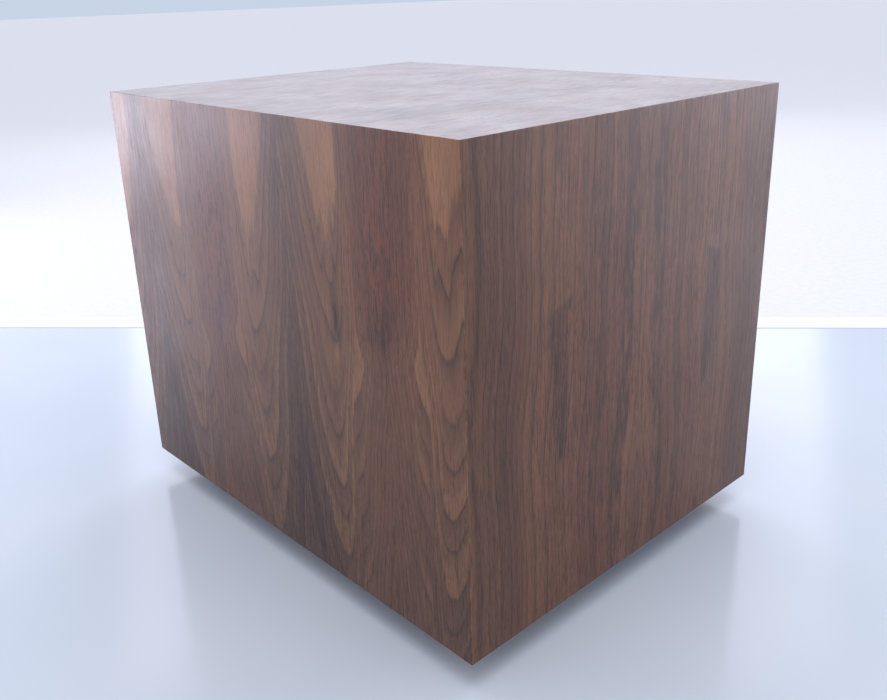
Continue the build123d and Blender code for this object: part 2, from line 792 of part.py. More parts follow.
def tub_screws():
    return group([wood_screw(x, z, tub_screw_radius, tub_screw_length, tub_screw_head_radius,
                             tub_screw_head_height) for x, z in tub_screw_places()])


def amp_tub():
    """A five-sided sheet-metal box whose flanges, above and below, are screwed to the plate."""
    shell = slab((tub_width, tub_height), 0, middle_z, tub_back_y, plate_inner_y)
    inside = (tub_width - 2 * tub_wall, tub_height - 2 * tub_wall)
    shell -= slab(inside, 0, middle_z, tub_back_y + tub_wall, plate_inner_y + MORE)
    for end in (-1, 1):
        z = middle_z + end * (tub_height - tub_flange) / 2
        shell += slab((inside[0], tub_flange), 0, z, plate_inner_y - tub_wall, plate_inner_y)
    for x, z in tub_screw_places():
        shell -= rod(tub_screw_radius, x, z, plate_inner_y - tub_depth / 2, plate_inner_y + MORE)
    bolt_z = middle_z + transformer_z
    shell -= rod(clamp_bolt_radius, 0, bolt_z, tub_back_y - MORE, tub_back_y + tub_depth / 2)
    floor_z = middle_z - tub_height / 2
    for side in (-1, 1):
        x = side * terminal_spacing / 2
        y = plate_inner_y - wire_exit_inset
        shell -= upright(wire_radius, x, y, floor_z - MORE, floor_z + tub_flange)
    return shell


def heat_sink():
    z = middle_z + heat_sink_z
    body = slab((heat_sink_width, heat_sink_height), 0, z, plate_outer_y, plate_outer_y + heat_sink_base)
    pitch = (heat_sink_width - fin_thickness) / (fin_count - 1)
    top = plate_outer_y + heat_sink_base + fin_height
    for i in range(fin_count):
        x = -heat_sink_width / 2 + fin_thickness / 2 + i * pitch
        body += slab((fin_thickness, heat_sink_height), x, z, plate_outer_y, top)
    return body


def pillar_places():
    half_x = board_width / 2 - pillar_inset
    half_z = board_height / 2 - pillar_inset
    return [(sx * half_x, middle_z + board_z + sz * half_z) for sx in (-1, 1) for sz in (-1, 1)]


def amp_board():
    """The circuit board, and the four pillars that hold it off the plate as solids of their own."""
    front = plate_inner_y - board_depth
    board = slab((board_width, board_height), 0, middle_z + board_z, front - circuit_board_thickness, front)
    return group([board] + [rod(pillar_radius, x, z, front, plate_inner_y) for x, z in pillar_places()])


def capacitors():
    front = plate_inner_y - board_depth - circuit_board_thickness
    cans = []
    for side in (-1, 1):
        x = side * capacitor_spacing / 2
        can = rod(capacitor_radius, x, middle_z + capacitor_z, front - capacitor_length, front)
        cans.append(fillet(can.edges().sort_by(Axis.Y)[0], capacitor_edge_radius))
    return group(cans)


def transformer():
    back = tub_back_y + tub_wall
    z = middle_z + transformer_z
    body = rod(transformer_radius, 0, z, back, back + transformer_height)
    body = fillet(body.edges(), transformer_edge_radius)
    return body - rod(transformer_bore_radius, 0, z, back - MORE, back + transformer_height + MORE)


def transformer_clamp():
    """A washer over the transformer, and the bolt that holds it, with its nut outside the tub."""
    z = middle_z + transformer_z
    seat = tub_back_y + tub_wall + transformer_height
    washer = rod(clamp_radius, 0, z, seat, seat + clamp_thickness)
    washer -= rod(clamp_bolt_radius, 0, z, seat - MORE, seat + clamp_thickness + MORE)
    under = seat + clamp_thickness
    bolt = rod(clamp_bolt_radius, 0, z, tub_back_y - clamp_nut_height, under)
    bolt += rod(clamp_head_radius, 0, z, under, under + clamp_head_height)
    nut = extrude(RegularPolygon(clamp_head_radius, 6), clamp_nut_height)
    nut = Pos(0, tub_back_y, z) * Rot(90, 0, 0) * nut
    nut -= rod(clamp_bolt_radius, 0, z, tub_back_y - clamp_nut_height - MORE, tub_back_y + MORE)
    return group([washer, bolt, nut])


# ---- controls and connectors ----
def pot_bodies():
    bodies = []
    for x in (level_x, crossover_x):
        z = middle_z + control_z
        body = rod(pot_radius, x, z, plate_inner_y - pot_depth, plate_inner_y)
        body += rod(bush_radius, x, z, plate_inner_y, plate_outer_y + bush_reach)
        bodies.append(body - rod(shaft_radius + shaft_clearance, x, z, plate_inner_y - pot_depth + MORE,
                                 plate_outer_y + bush_reach + MORE))
    return group(bodies)


def pot_shaft(x):
    inner = plate_inner_y - pot_depth + MORE + small_screw_clearance
    return rod(shaft_radius, x, middle_z + control_z, inner, plate_outer_y + shaft_reach)


def knob(x):
    """A fluted knob with a line down its side and across its face, pointing up."""
    z = middle_z + control_z
    low, high = plate_outer_y + knob_gap, plate_outer_y + knob_gap + knob_length
    body = rod(knob_radius, x, z, low, high)
    body = fillet(body.edges().sort_by(Axis.Y)[-1], knob_edge_radius)
    for i in range(knob_flute_count):
        angle = math.radians((i + 0.5) * 360 / knob_flute_count)
        body -= rod(knob_flute_radius, x + knob_radius * math.cos(angle), z + knob_radius * math.sin(angle),
                    low - MORE, high + MORE)
    body -= rod(shaft_radius, x, z, low - MORE, plate_outer_y + shaft_reach)
    half = knob_mark_width / 2
    return body - block(x - half, x + half, high - knob_mark_depth, high + MORE, z + knob_radius / 4,
                        z + knob_radius + MORE)


def toggle_switch_body():
    z = middle_z + control_z
    wide, deep, tall = toggle_body
    body = block(toggle_x - wide / 2, toggle_x + wide / 2, plate_inner_y - deep, plate_inner_y,
                 z - tall / 2, z + tall / 2)
    bush_end = plate_outer_y + toggle_bush_reach
    body += rod(toggle_bush_radius, toggle_x, z, plate_inner_y, bush_end)
    return body - rod(toggle_bore_radius, toggle_x, z, plate_outer_y, bush_end + MORE)


def toggle_lever():
    """A bat that leans down at rest, from a ball inside the bush."""
    z = middle_z + control_z
    length = toggle_reach - toggle_root_radius
    bat = Pos(0, 0, length / 2) * Cone(toggle_root_radius, toggle_tip_radius, length)
    bat += Pos(0, 0, length) * Sphere(toggle_tip_radius)
    lever = Sphere(toggle_ball_radius) + bat
    return Pos(toggle_x, plate_outer_y + toggle_pivot, z) * Rot(-90 - toggle_angle, 0, 0) * lever


def rocker_frame():
    z = middle_z + rocker_z
    width, height, lip = rocker_bezel
    front = plate_outer_y + lip
    bezel = slab((width, height), rocker_x, z, plate_outer_y, front)
    bezel = fillet(bezel.edges().filter_by(Axis.Y), rocker_bezel_corner)
    body = slab(rocker_body[:2], rocker_x, z, plate_inner_y - rocker_body[2], plate_outer_y)
    return bezel + body - slab(rocker_window, rocker_x, z, front - rocker_well, front + MORE)


def mains_rocker():
    """A dished paddle that turns about X, its lower end pressed in at rest."""
    half, ends, middle, under = rocker_half_length, rocker_ends, rocker_middle, rocker_underside
    outline = [(-half, -under / 2), (-half, ends), (0, middle), (half, ends), (half, -under / 2)]
    outline.append((0, -under))
    face = make_face(Polyline(*[(0, out, along) for along, out in outline], close=True))
    paddle = extrude(face, rocker_width / 2, both=True)
    place = Pos(rocker_x, plate_outer_y + rocker_pivot, middle_z + rocker_z)
    return place * Rot(-rocker_angle, 0, 0) * paddle


def mains_inlet():
    """A three-pin appliance inlet, its well over the slot for the fuse drawer."""
    z = middle_z + inlet_z
    width, height, lip = inlet_bezel
    front = plate_outer_y + lip
    shell = slab((width, height), inlet_x, z, plate_outer_y, front)
    shell = fillet(shell.edges().filter_by(Axis.Y), inlet_bezel_corner)
    shell += slab(inlet_body[:2], inlet_x, z, plate_inner_y - inlet_body[2], plate_outer_y)
    well_z = z + inlet_well_offset
    well = slab(inlet_well[:2], inlet_x, well_z, front - inlet_well[2], front + MORE)
    upper = well.edges().filter_by(Axis.Y).group_by(Axis.Z)[-1]
    shell -= chamfer(upper, inlet_corner_cut)
    slot = tuple(s + 2 * drawer_clearance for s in drawer_size[:2])
    shell -= slab(slot, inlet_x, z + drawer_offset, front - drawer_size[2] - drawer_clearance, front + MORE)
    return shell


def inlet_pins():
    well_z = middle_z + inlet_z + inlet_well_offset
    back = plate_outer_y + inlet_bezel[2] - inlet_well[2]
    places = [(-inlet_pin_spacing / 2, 0), (0, inlet_earth_rise), (inlet_pin_spacing / 2, 0)]
    return group([slab(inlet_pin[:2], inlet_x + x, well_z + z, back, back + inlet_pin[2]) for x, z in places])


def fuse_drawer():
    """A drawer with a finger lip, hollowed for the fuse."""
    z = middle_z + inlet_z + drawer_offset
    front = plate_outer_y + inlet_bezel[2]
    width, height, deep = drawer_size
    body = slab((width, height), inlet_x, z, front - deep, front)
    rim = drawer_wall
    cavity_from = front - deep + rim
    body -= block(inlet_x - width / 2 + rim, inlet_x + width / 2 - rim, cavity_from, cavity_from + deep / 2,
                  z - height / 2 + rim, z + height / 2 + MORE)
    return body + slab((width / 2, drawer_lip), inlet_x, z + height / 4, front, front + drawer_lip)


def line_sockets():
    sockets = []
    for x in socket_columns:
        z = middle_z + socket_z
        nut = extrude(RegularPolygon(socket_nut_radius, 6), socket_nut_height)
        body = Pos(x, plate_outer_y + socket_nut_height, z) * Rot(90, 0, 0) * nut
        end = plate_outer_y + socket_nut_height + socket_length
        body += rod(socket_radius, x, z, plate_outer_y, end)
        body += rod(socket_tail_radius, x, z, plate_inner_y - socket_tail, plate_outer_y)
        sockets.append(body - rod(socket_bore_radius, x, z, plate_outer_y, end + MORE))
    return group(sockets)


def status_light():
    z = middle_z + control_z
    body = rod(light_radius, light_x, z, plate_inner_y - light_tail, plate_outer_y + light_reach)
    body = fillet(body.edges().sort_by(Axis.Y)[-1], light_dome_radius)
    return body + rod(light_flange_radius, light_x, z, plate_inner_y - light_flange, plate_inner_y)


# ---- the whole ----
def make_parts():
    parts = {}
    for name in WALLS:
        parts[f"{name}_panel"] = panel(name)
        parts[f"{name}_veneer"] = veneer(name)
    parts["bottom_baffle"] = bottom_baffle()
    parts["window_brace_left"] = window_brace(-1)
    parts["window_brace_right"] = window_brace(1)
    parts["corner_cleats"] = corner_cleats()
    parts["wadding"] = wadding()
    for name in FEET:
        parts[name] = foot(name)
    parts["foot_pads"] = foot_pads()
    parts["foot_screws"] = foot_screws()
    parts["threaded_inserts"] = threaded_inserts()
    parts["driver_basket"] = driver_basket()
    parts["driver_gasket"] = driver_gasket()
    parts["driver_screws"] = driver_screws()
    parts["surround"] = surround()
    parts["cone"] = cone()
    parts["dust_cap"] = dust_cap()
    parts["voice_coil"] = voice_coil()
    parts["spider"] = spider()
    parts["magnet_top_plate"] = magnet_top_plate()
    parts["magnet_ring"] = magnet_ring()
    parts["magnet_yoke"] = magnet_yoke()
    parts["driver_terminals"] = driver_terminals(parts["driver_basket"])
    parts["tinsel_leads"] = tinsel_leads()
    parts["driver_wires"] = driver_wires()
    parts["amp_plate"] = amp_plate()
    parts["amp_gasket"] = amp_gasket()
    parts["amp_tub"] = amp_tub()
    parts["plate_screws"] = plate_screws()
    parts["tub_screws"] = tub_screws()
    parts["heat_sink"] = heat_sink()
    parts["amp_board"] = amp_board()
    parts["capacitors"] = capacitors()
    parts["transformer"] = transformer()
    parts["transformer_clamp"] = transformer_clamp()
    parts["pot_bodies"] = pot_bodies()
    parts["level_shaft"] = pot_shaft(level_x)
    parts["crossover_shaft"] = pot_shaft(crossover_x)
    parts["level_knob"] = knob(level_x)
    parts["crossover_knob"] = knob(crossover_x)
    parts["toggle_switch_body"] = toggle_switch_body()
    parts["phase_toggle"] = toggle_lever()
    parts["rocker_frame"] = rocker_frame()
    parts["mains_rocker"] = mains_rocker()
    parts["mains_inlet"] = mains_inlet()
    parts["inlet_pins"] = inlet_pins()
    parts["fuse_drawer"] = fuse_drawer()
    parts["line_sockets"] = line_sockets()
    parts["status_light"] = status_light()
    return parts


for name, solid in make_parts().items():
    export_step(solid, f"parts/{name}.step")
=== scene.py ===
import math

import bpy
import numpy as np
from mathutils import Euler, Matrix, Vector


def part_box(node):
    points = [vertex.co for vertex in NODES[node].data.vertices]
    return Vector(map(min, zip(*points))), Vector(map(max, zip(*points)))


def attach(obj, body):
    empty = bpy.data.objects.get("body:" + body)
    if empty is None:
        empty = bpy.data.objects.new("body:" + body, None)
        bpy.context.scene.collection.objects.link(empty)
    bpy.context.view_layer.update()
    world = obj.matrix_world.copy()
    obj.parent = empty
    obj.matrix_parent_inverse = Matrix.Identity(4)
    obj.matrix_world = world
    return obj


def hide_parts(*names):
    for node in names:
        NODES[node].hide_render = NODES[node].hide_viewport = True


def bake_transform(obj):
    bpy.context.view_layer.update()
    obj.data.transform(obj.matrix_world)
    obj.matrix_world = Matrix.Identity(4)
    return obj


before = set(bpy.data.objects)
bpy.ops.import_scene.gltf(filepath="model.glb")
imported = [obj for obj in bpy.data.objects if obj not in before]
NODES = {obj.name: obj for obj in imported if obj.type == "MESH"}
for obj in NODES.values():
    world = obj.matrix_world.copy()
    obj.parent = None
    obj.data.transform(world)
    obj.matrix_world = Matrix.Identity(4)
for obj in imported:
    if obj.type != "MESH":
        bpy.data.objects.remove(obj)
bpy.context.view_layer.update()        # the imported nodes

bl_info = {
    "name": "Down-firing subwoofer finishes",
    "version": (1, 0, 0),
    "blender": (4, 5, 0),
    "location": "View3D > Sidebar > Subwoofer",
    "description": "Walnut veneers, driver, amplifier and studio for a down-firing subwoofer cabinet",
    "category": "Object",
}

# ---- measures taken from the frame, in metres ----
MM = 0.001
FRONT_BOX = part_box("front_veneer")
TOP_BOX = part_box("top_veneer")
RIGHT_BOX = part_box("right_veneer")
CABINET_LOW = Vector(FRONT_BOX[0])
CABINET_HIGH = Vector((FRONT_BOX[1].x, RIGHT_BOX[1].y, TOP_BOX[1].z))
CABINET_HEIGHT = CABINET_HIGH.z - CABINET_LOW.z
VENEER = FRONT_BOX[1].y - FRONT_BOX[0].y
PLATE_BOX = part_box("amp_plate")


# ---- small helpers ----
def linear(code):
    """The linear colour, with alpha, of an sRGB hex code such as 8a5a3c."""
    parts = [int(code[i:i + 2], 16) / 255 for i in (0, 2, 4)]
    return tuple(c / 12.92 if c <= 0.04045 else ((c + 0.055) / 1.055) ** 2.4 for c in parts) + (1.0,)


def put(tree, kind, inputs=None, stops=None, **settings):
    """Adds one node. Inputs are values, fields or sockets by name or place, and stops are a ramp's
    (place, colour) pairs."""
    node = tree.nodes.new(kind)
    for name, value in settings.items():
        setattr(node, name, value)
    for name, value in (inputs or {}).items():
        value = getattr(value, "socket", value)
        if isinstance(value, bpy.types.NodeSocket):
            tree.links.new(value, node.inputs[name])
        else:
            node.inputs[name].default_value = value
    if stops:
        ramp = node.color_ramp
        while len(ramp.elements) < len(stops):
            ramp.elements.new(1.0)
        for element, (place, colour) in zip(ramp.elements, stops):
            element.position = place
            element.color = colour
    return node


class Field:
    """A value worked out by shader nodes, which can be reckoned with like a number."""

    def __init__(self, tree, socket):
        self.tree = tree
        self.socket = socket

    def reckon(self, operation, first, second=0.0):
        """One step of arithmetic on two values, fields or sockets."""
        node = put(self.tree, "ShaderNodeMath", {0: first, 1: second}, operation=operation)
        return Field(self.tree, node.outputs[0])

    def __add__(self, other):
        return self.reckon("ADD", self, other)

    def __sub__(self, other):
        return self.reckon("SUBTRACT", self, other)

    def __mul__(self, other):
        return self.reckon("MULTIPLY", self, other)

    def __truediv__(self, other):
        return self.reckon("DIVIDE", self, other)

    def __abs__(self):
        return self.reckon("ABSOLUTE", self)

    def least(self, other):
        return self.reckon("MINIMUM", self, other)

    def most(self, other):
        return self.reckon("MAXIMUM", self, other)

    def fraction(self):
        return self.reckon("FRACT", self)

    def whole(self):
        return self.reckon("FLOOR", self)

    def spread(self, low, high, to_low=0.0, to_high=1.0):
        """Maps the range low to high onto to_low to to_high, and holds it there outside."""
        node = put(self.tree, "ShaderNodeMapRange", {
            "Value": self, "From Min": low, "From Max": high, "To Min": to_low, "To Max": to_high})
        return Field(self.tree, node.outputs["Result"])

    def band(self, low, high, soft=0.08 * MM):
        """1 between low and high, with a soft edge."""
        return self.spread(low - soft, low + soft) * self.spread(high - soft, high + soft, 1.0, 0.0)

    def waves(self, pitch):
        """A sine of the field, from 0 to 1, with the given pitch."""
        return self.reckon("SINE", self * (2 * math.pi / pitch)) * 0.5 + 0.5

    def round_about(self, up, centre):
        """With this field across and another up: the distance from a centre, and the angle from up."""
        across, up = self - centre[0], up - centre[1]
        square = across * across + up * up
        return self.reckon("SQRT", square), self.reckon("ARCTAN2", across, up)


class Finish:
    """A procedural material in the making. The shader's own uniform values are set on its sockets."""

    def __init__(self, name, **uniform):
        self.material = bpy.data.materials.new(name)
        self.material.use_nodes = True
        self.tree = self.material.node_tree
        self.tree.nodes.clear()
        self.shader = put(self.tree, "ShaderNodeBsdfPrincipled")
        for socket, value in uniform.items():
            self.shader.inputs[socket.replace("_", " ")].default_value = value
        put(self.tree, "ShaderNodeOutputMaterial", {"Surface": self.shader.outputs["BSDF"]})

    def where(self):
        """The object coordinates."""
        return put(self.tree, "ShaderNodeTexCoord").outputs["Object"]

    def axes(self):
        """The object coordinates' X, Y and Z."""
        node = put(self.tree, "ShaderNodeSeparateXYZ", {"Vector": self.where()})
        return [Field(self.tree, node.outputs[axis]) for axis in "XYZ"]

    def noise(self, size, detail=3.0, rough=0.55, distortion=0.0):
        """Noise whose blobs are size millimetres long, either one number or (x, y, z)."""
        sizes = size if isinstance(size, tuple) else (size,) * 3
        placed = put(self.tree, "ShaderNodeMapping", {
            "Vector": self.where(), "Scale": tuple(1 / (s * MM) for s in sizes)})
        node = put(self.tree, "ShaderNodeTexNoise", {
            "Vector": placed.outputs[0], "Scale": 1.0, "Detail": detail, "Roughness": rough,
            "Distortion": distortion})
        return Field(self.tree, node.outputs["Fac"])

    def cells(self, size, **settings):
        """Distance to the nearest of points scattered about size millimetres apart."""
        node = put(self.tree, "ShaderNodeTexVoronoi", {"Vector": self.where(), "Scale": 1 / (size * MM)},
                   **settings)
        return Field(self.tree, node.outputs["Distance"])

    def read(self, key):
        """A point attribute of the mesh."""
        return Field(self.tree, put(self.tree, "ShaderNodeAttribute", attribute_name=key).outputs["Fac"])

    def dice(self, number):
        """A random value from 0 to 1 for each whole number."""
        node = put(self.tree, "ShaderNodeTexWhiteNoise", {"W": number}, noise_dimensions="1D")
        return Field(self.tree, node.outputs["Value"])

    def mix(self, share, first, second, how="MIX"):
        """Mixes two colours, each an sRGB hex code or a socket, by a share."""
        first, second = (linear(c) if isinstance(c, str) else c for c in (first, second))
        node = put(self.tree, "ShaderNodeMix", {0: share, 6: first, 7: second}, data_type="RGBA",
                   blend_type=how)
        return node.outputs[2]

    def tones(self, field, dark, light):
        """A mottle between two colours that follows a noise field."""
        return self.mix(field.spread(0.3, 0.7), dark, light)

    def relief(self, height, depth_mm, strength=1.0):
        """A bump whose height of 1 stands depth_mm proud."""
        node = put(self.tree, "ShaderNodeBump", {
            "Height": height, "Distance": depth_mm * MM, "Strength": strength})
        return node.outputs["Normal"]

    def drive(self, **inputs):
        """Links fields or sockets to the shader's inputs."""
        for socket, value in inputs.items():
            self.tree.links.new(getattr(value, "socket", value), self.shader.inputs[socket.replace("_", " ")])

    def done(self, colour, gloss, height, depth_mm):
        """Joins a colour, a roughness and a height field to the shader, and hands the material over."""
        self.drive(Base_Color=colour, Roughness=gloss, Normal=self.relief(height, depth_mm))
        return self.material


def two_tone(name, dark, light, size, rough, grit, depth, **uniform):
    """A surface mottled between two colours. Its gloss follows the same noise, with blobs of size mm, and a
    fine grit of its own size in mm stands depth mm proud."""
    finish = Finish(name, **uniform)
    broad = finish.noise(size, 4.0)
    return finish.done(finish.tones(broad, dark, light), broad.spread(0.3, 0.7, *rough),
                       finish.noise(grit, 2.0), depth)


def grid_faces(rows, columns, round_columns=False):
    """The quads of a grid of points, row by row; the columns can close on themselves."""
    i = np.arange(rows - 1)[:, None]
    j = np.arange(columns if round_columns else columns - 1)[None, :]
    after = (j + 1) % columns
    quads = [i * columns + j, i * columns + after, (i + 1) * columns + after, (i + 1) * columns + j]
    return np.stack(np.broadcast_arrays(*quads), -1).reshape(-1, 4)


def make_piece(name, points, faces, material, body, attributes=None, smooth=True):
    """A mesh piece at the origin with point attributes, which rides on a body if one is named."""
    mesh = bpy.data.meshes.new(name)
    mesh.from_pydata(np.asarray(points, float).reshape(-1, 3).tolist(), [], [list(f) for f in faces])
    for key, values in (attributes or {}).items():
        layer = mesh.attributes.new(key, "FLOAT", "POINT")
        layer.data.foreach_set("value", np.asarray(values, np.float32).ravel())
    mesh.polygons.foreach_set("use_smooth", [smooth] * len(mesh.polygons))
    mesh.validate()
    piece = bpy.data.objects.new(name, mesh)
    bpy.context.scene.collection.objects.link(piece)
    mesh.materials.append(material)
    if body:
        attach(piece, body)
    return piece


def dress(names, material):
    """Gives CAD nodes a material."""
    for name in names:
        slots = NODES[name].data.materials
        slots.clear()
        slots.append(material)


# ---- settings ----
class VeneerSettings(bpy.types.PropertyGroup):
    """Sizes and colours of the five walnut veneers."""
    leaf_width: bpy.props.FloatProperty(
        name="Leaf width", description="Width of one leaf of book-matched veneer", default=0.1353,
        unit="LENGTH", subtype="DISTANCE")
    first_joint: bpy.props.FloatProperty(
        name="First joint", description="From the left edge of a crown face to its first joint",
        default=0.0572,
        unit="LENGTH", subtype="DISTANCE")
    arris: bpy.props.FloatProperty(
        name="Arris radius", description="Radius of the sanded edges", default=0.0003,
        unit="LENGTH", subtype="DISTANCE")
    step: bpy.props.FloatProperty(
        name="Grid step", description="Spacing of the points that carry the figure", default=0.0028,
        unit="LENGTH", subtype="DISTANCE")
    gloss: bpy.props.FloatProperty(
        name="Lacquer roughness", description="How far the lacquer spreads a reflection", default=0.36,
        min=0.0, max=1.0, subtype="FACTOR")
    top_gloss: bpy.props.FloatProperty(
        name="Top lacquer roughness", description="The same for the thicker lacquer on the top", default=0.30,
        min=0.0, max=1.0, subtype="FACTOR")
    tan: bpy.props.StringProperty(name="Tan", description="Early wood, sRGB hex", default="ab7650")
    brown: bpy.props.StringProperty(name="Brown", description="Ordinary wood, sRGB hex", default="784c38")
    # the umber also colours the painted shade that darkens the crown faces towards their foot
    umber: bpy.props.StringProperty(
        name="Umber", description="Dark heart streaks, sRGB hex", default="4b2f22")
    russet: bpy.props.StringProperty(
        name="Russet", description="Reddish streaks, sRGB hex", default="874a30")


class DriverSettings(bpy.types.PropertyGroup):
    """The driver's soft parts and the wadding."""
    rubber_thickness: bpy.props.FloatProperty(
        name="Rubber thickness", description="Wall of the surround", default=0.0014,
        unit="LENGTH", subtype="DISTANCE")
    lip_width: bpy.props.FloatProperty(
        name="Surround lip", description="Flat glued to the basket and to the cone", default=0.010,
        unit="LENGTH", subtype="DISTANCE")
    surround_sectors: bpy.props.IntProperty(
        name="Surround sectors", description="Pieces that flex", default=28)
    spider_sectors: bpy.props.IntProperty(name="Spider sectors", description="Pieces that flex", default=24)
    spider_rolls: bpy.props.IntProperty(
        name="Spider rolls", description="Half rolls of the cloth", default=5)
    spider_lip: bpy.props.FloatProperty(
        name="Spider lip", description="Flat glued to the basket", default=0.0119,
        unit="LENGTH", subtype="DISTANCE")
    cloth_thickness: bpy.props.FloatProperty(
        name="Cloth thickness", description="Wall of the spider", default=0.0008,
        unit="LENGTH", subtype="DISTANCE")
    lead_radius: bpy.props.FloatProperty(
        name="Lead radius", description="Radius of a tinsel lead", default=0.0009,
        unit="LENGTH", subtype="DISTANCE")
    wadding_thickness: bpy.props.FloatProperty(
        name="Wadding thickness", description="Of each batt at its fullest", default=0.043,
        unit="LENGTH", subtype="DISTANCE")


class StudioSettings(bpy.types.PropertyGroup):
    """The pale room: its colours, lights and camera."""
    floor: bpy.props.StringProperty(name="Floor", description="Floor colour, sRGB hex", default="dfe8f4")
    wall: bpy.props.StringProperty(
        name="Far floor", description="Colour beyond the floor, sRGB hex", default="a4a4ac")
    edge_distance: bpy.props.FloatProperty(
        name="Floor edge", description="From the object's centre back to where the floor turns paler",
        default=0.518, unit="LENGTH", subtype="DISTANCE")
    edge_angle: bpy.props.FloatProperty(
        name="Floor edge angle", description="How far that line is turned from the front",
        default=math.radians(42.2), unit="ROTATION", subtype="ANGLE")
    glow: bpy.props.FloatProperty(
        name="Far glow", description="Light given off beyond the floor", default=0.60)
    sky: bpy.props.FloatProperty(
        name="Room light", description="Strength of the room's own light", default=0.62)
    back_light: bpy.props.FloatProperty(
        name="Back light", description="Power of the panel behind, for the sheen of the top", default=31.0)
    side_light: bpy.props.FloatProperty(
        name="Side light", description="Power of the panel at the left, for the glare on the front",
        default=14.0)
    far_light: bpy.props.FloatProperty(
        name="Far light", description="Power of the panel beyond the right side, for its sheen", default=66.0)
    key_light: bpy.props.FloatProperty(
        name="Key light", description="Power of the big soft light overhead", default=34.0)
    lens: bpy.props.FloatProperty(
        name="Lens", description="Focal length on a 36 mm sensor, in millimetres", default=36.92)


# ---- walnut veneer ----
WALLS = {
    # name: (origin corner, across, up); the outward side is across x up
    "front": ((0, 0, 0), (1, 0, 0), (0, 0, 1)),
    "rear": ((1, 1, 0), (-1, 0, 0), (0, 0, 1)),
    "left": ((0, 1, 0), (0, -1, 0), (0, 0, 1)),
    "right": ((1, 0, 0), (0, 1, 0), (0, 0, 1)),
    "top": ((0, 0, 1), (1, 0, 0), (0, 1, 0)),
}
# depths down the crown, in cabinet heights, at which a dark ring line crosses the middle of the first leaf
RING_TIPS = (0.335, 0.415, 0.54, 0.65, 0.745, 0.86, 0.93, 1.045, 1.12)
RING_PACE = 0.088           # between the later rings, which show only down the sides of the crowns
RING_COUNT = 40
# tone of the wood between those lines, as (depth, share of tan)
RING_TONES = (
    (-0.2, 0.92), (0.325, 1.0), (0.345, 0.30), (0.40, 0.42), (0.43, 0.36), (0.53, 0.55), (0.55, 0.34),
    (0.645, 0.50), (0.66, 0.36), (0.74, 0.52), (0.76, 0.60), (0.85, 0.80), (0.87, 0.22), (0.925, 0.34),
    (0.945, 0.72), (1.035, 0.95), (1.055, 0.14), (1.11, 0.30), (1.2, 0.55), (1.3, 0.22), (1.42, 0.5),
    (1.6, 0.25), (1.9, 0.42), (2.4, 0.3))
CROWN_PLACE = 0.47          # the crown's middle, in leaves from the dark joint
LEAF_LIFT = 0.052           # how much higher the same crown sits on each next leaf, in cabinet heights
DARK_RISE = (0.185, 1.8)    # width and power of the crown's flank towards the dark joint
RED_RISE = (0.078, 2.5)     # and towards the red joint
LEGS_FROM = 0.055           # how far from the crown's middle the red flank turns into straight legs
LEG_SLOPES = (21.5, 14)     # slope of those legs above the knot, and how much less it is below
LEG_SHARE = 0.55            # of the depth that counts in them above the knot
KNOT_DEPTH = 0.50           # the knot on the red joint
NOTCH_WIDTH = 0.034         # of the jagged points at the crown's upper tips
NOTCH_DEPTH = 0.036         # and how far they reach, in ring depth
NICK_COUNT = 26             # dents in each edge
NICK_REACH = 0.56           # how far along an edge they may lie, in metres
FOLD_PLACE = 0.51           # the middle joint of a quarter-cut face
# darkness of the line that ends a ring, over the ring's width
LINE_TONES = ((0.0, 0.95), (0.04, 1.0), (0.10, 0.50), (0.35, 0.22), (0.70, 0.0), (0.93, 0.12), (1.0, 0.95))


def steps_in(low, high, value):
    """Smooth rise from 0 at low to 1 at high."""
    x = np.clip((value - low) / (high - low), 0, 1)
    return x * x * (3 - 2 * x)


def hump(value, width):
    """A bell of height 1."""
    return np.exp(-(value / width) ** 2)


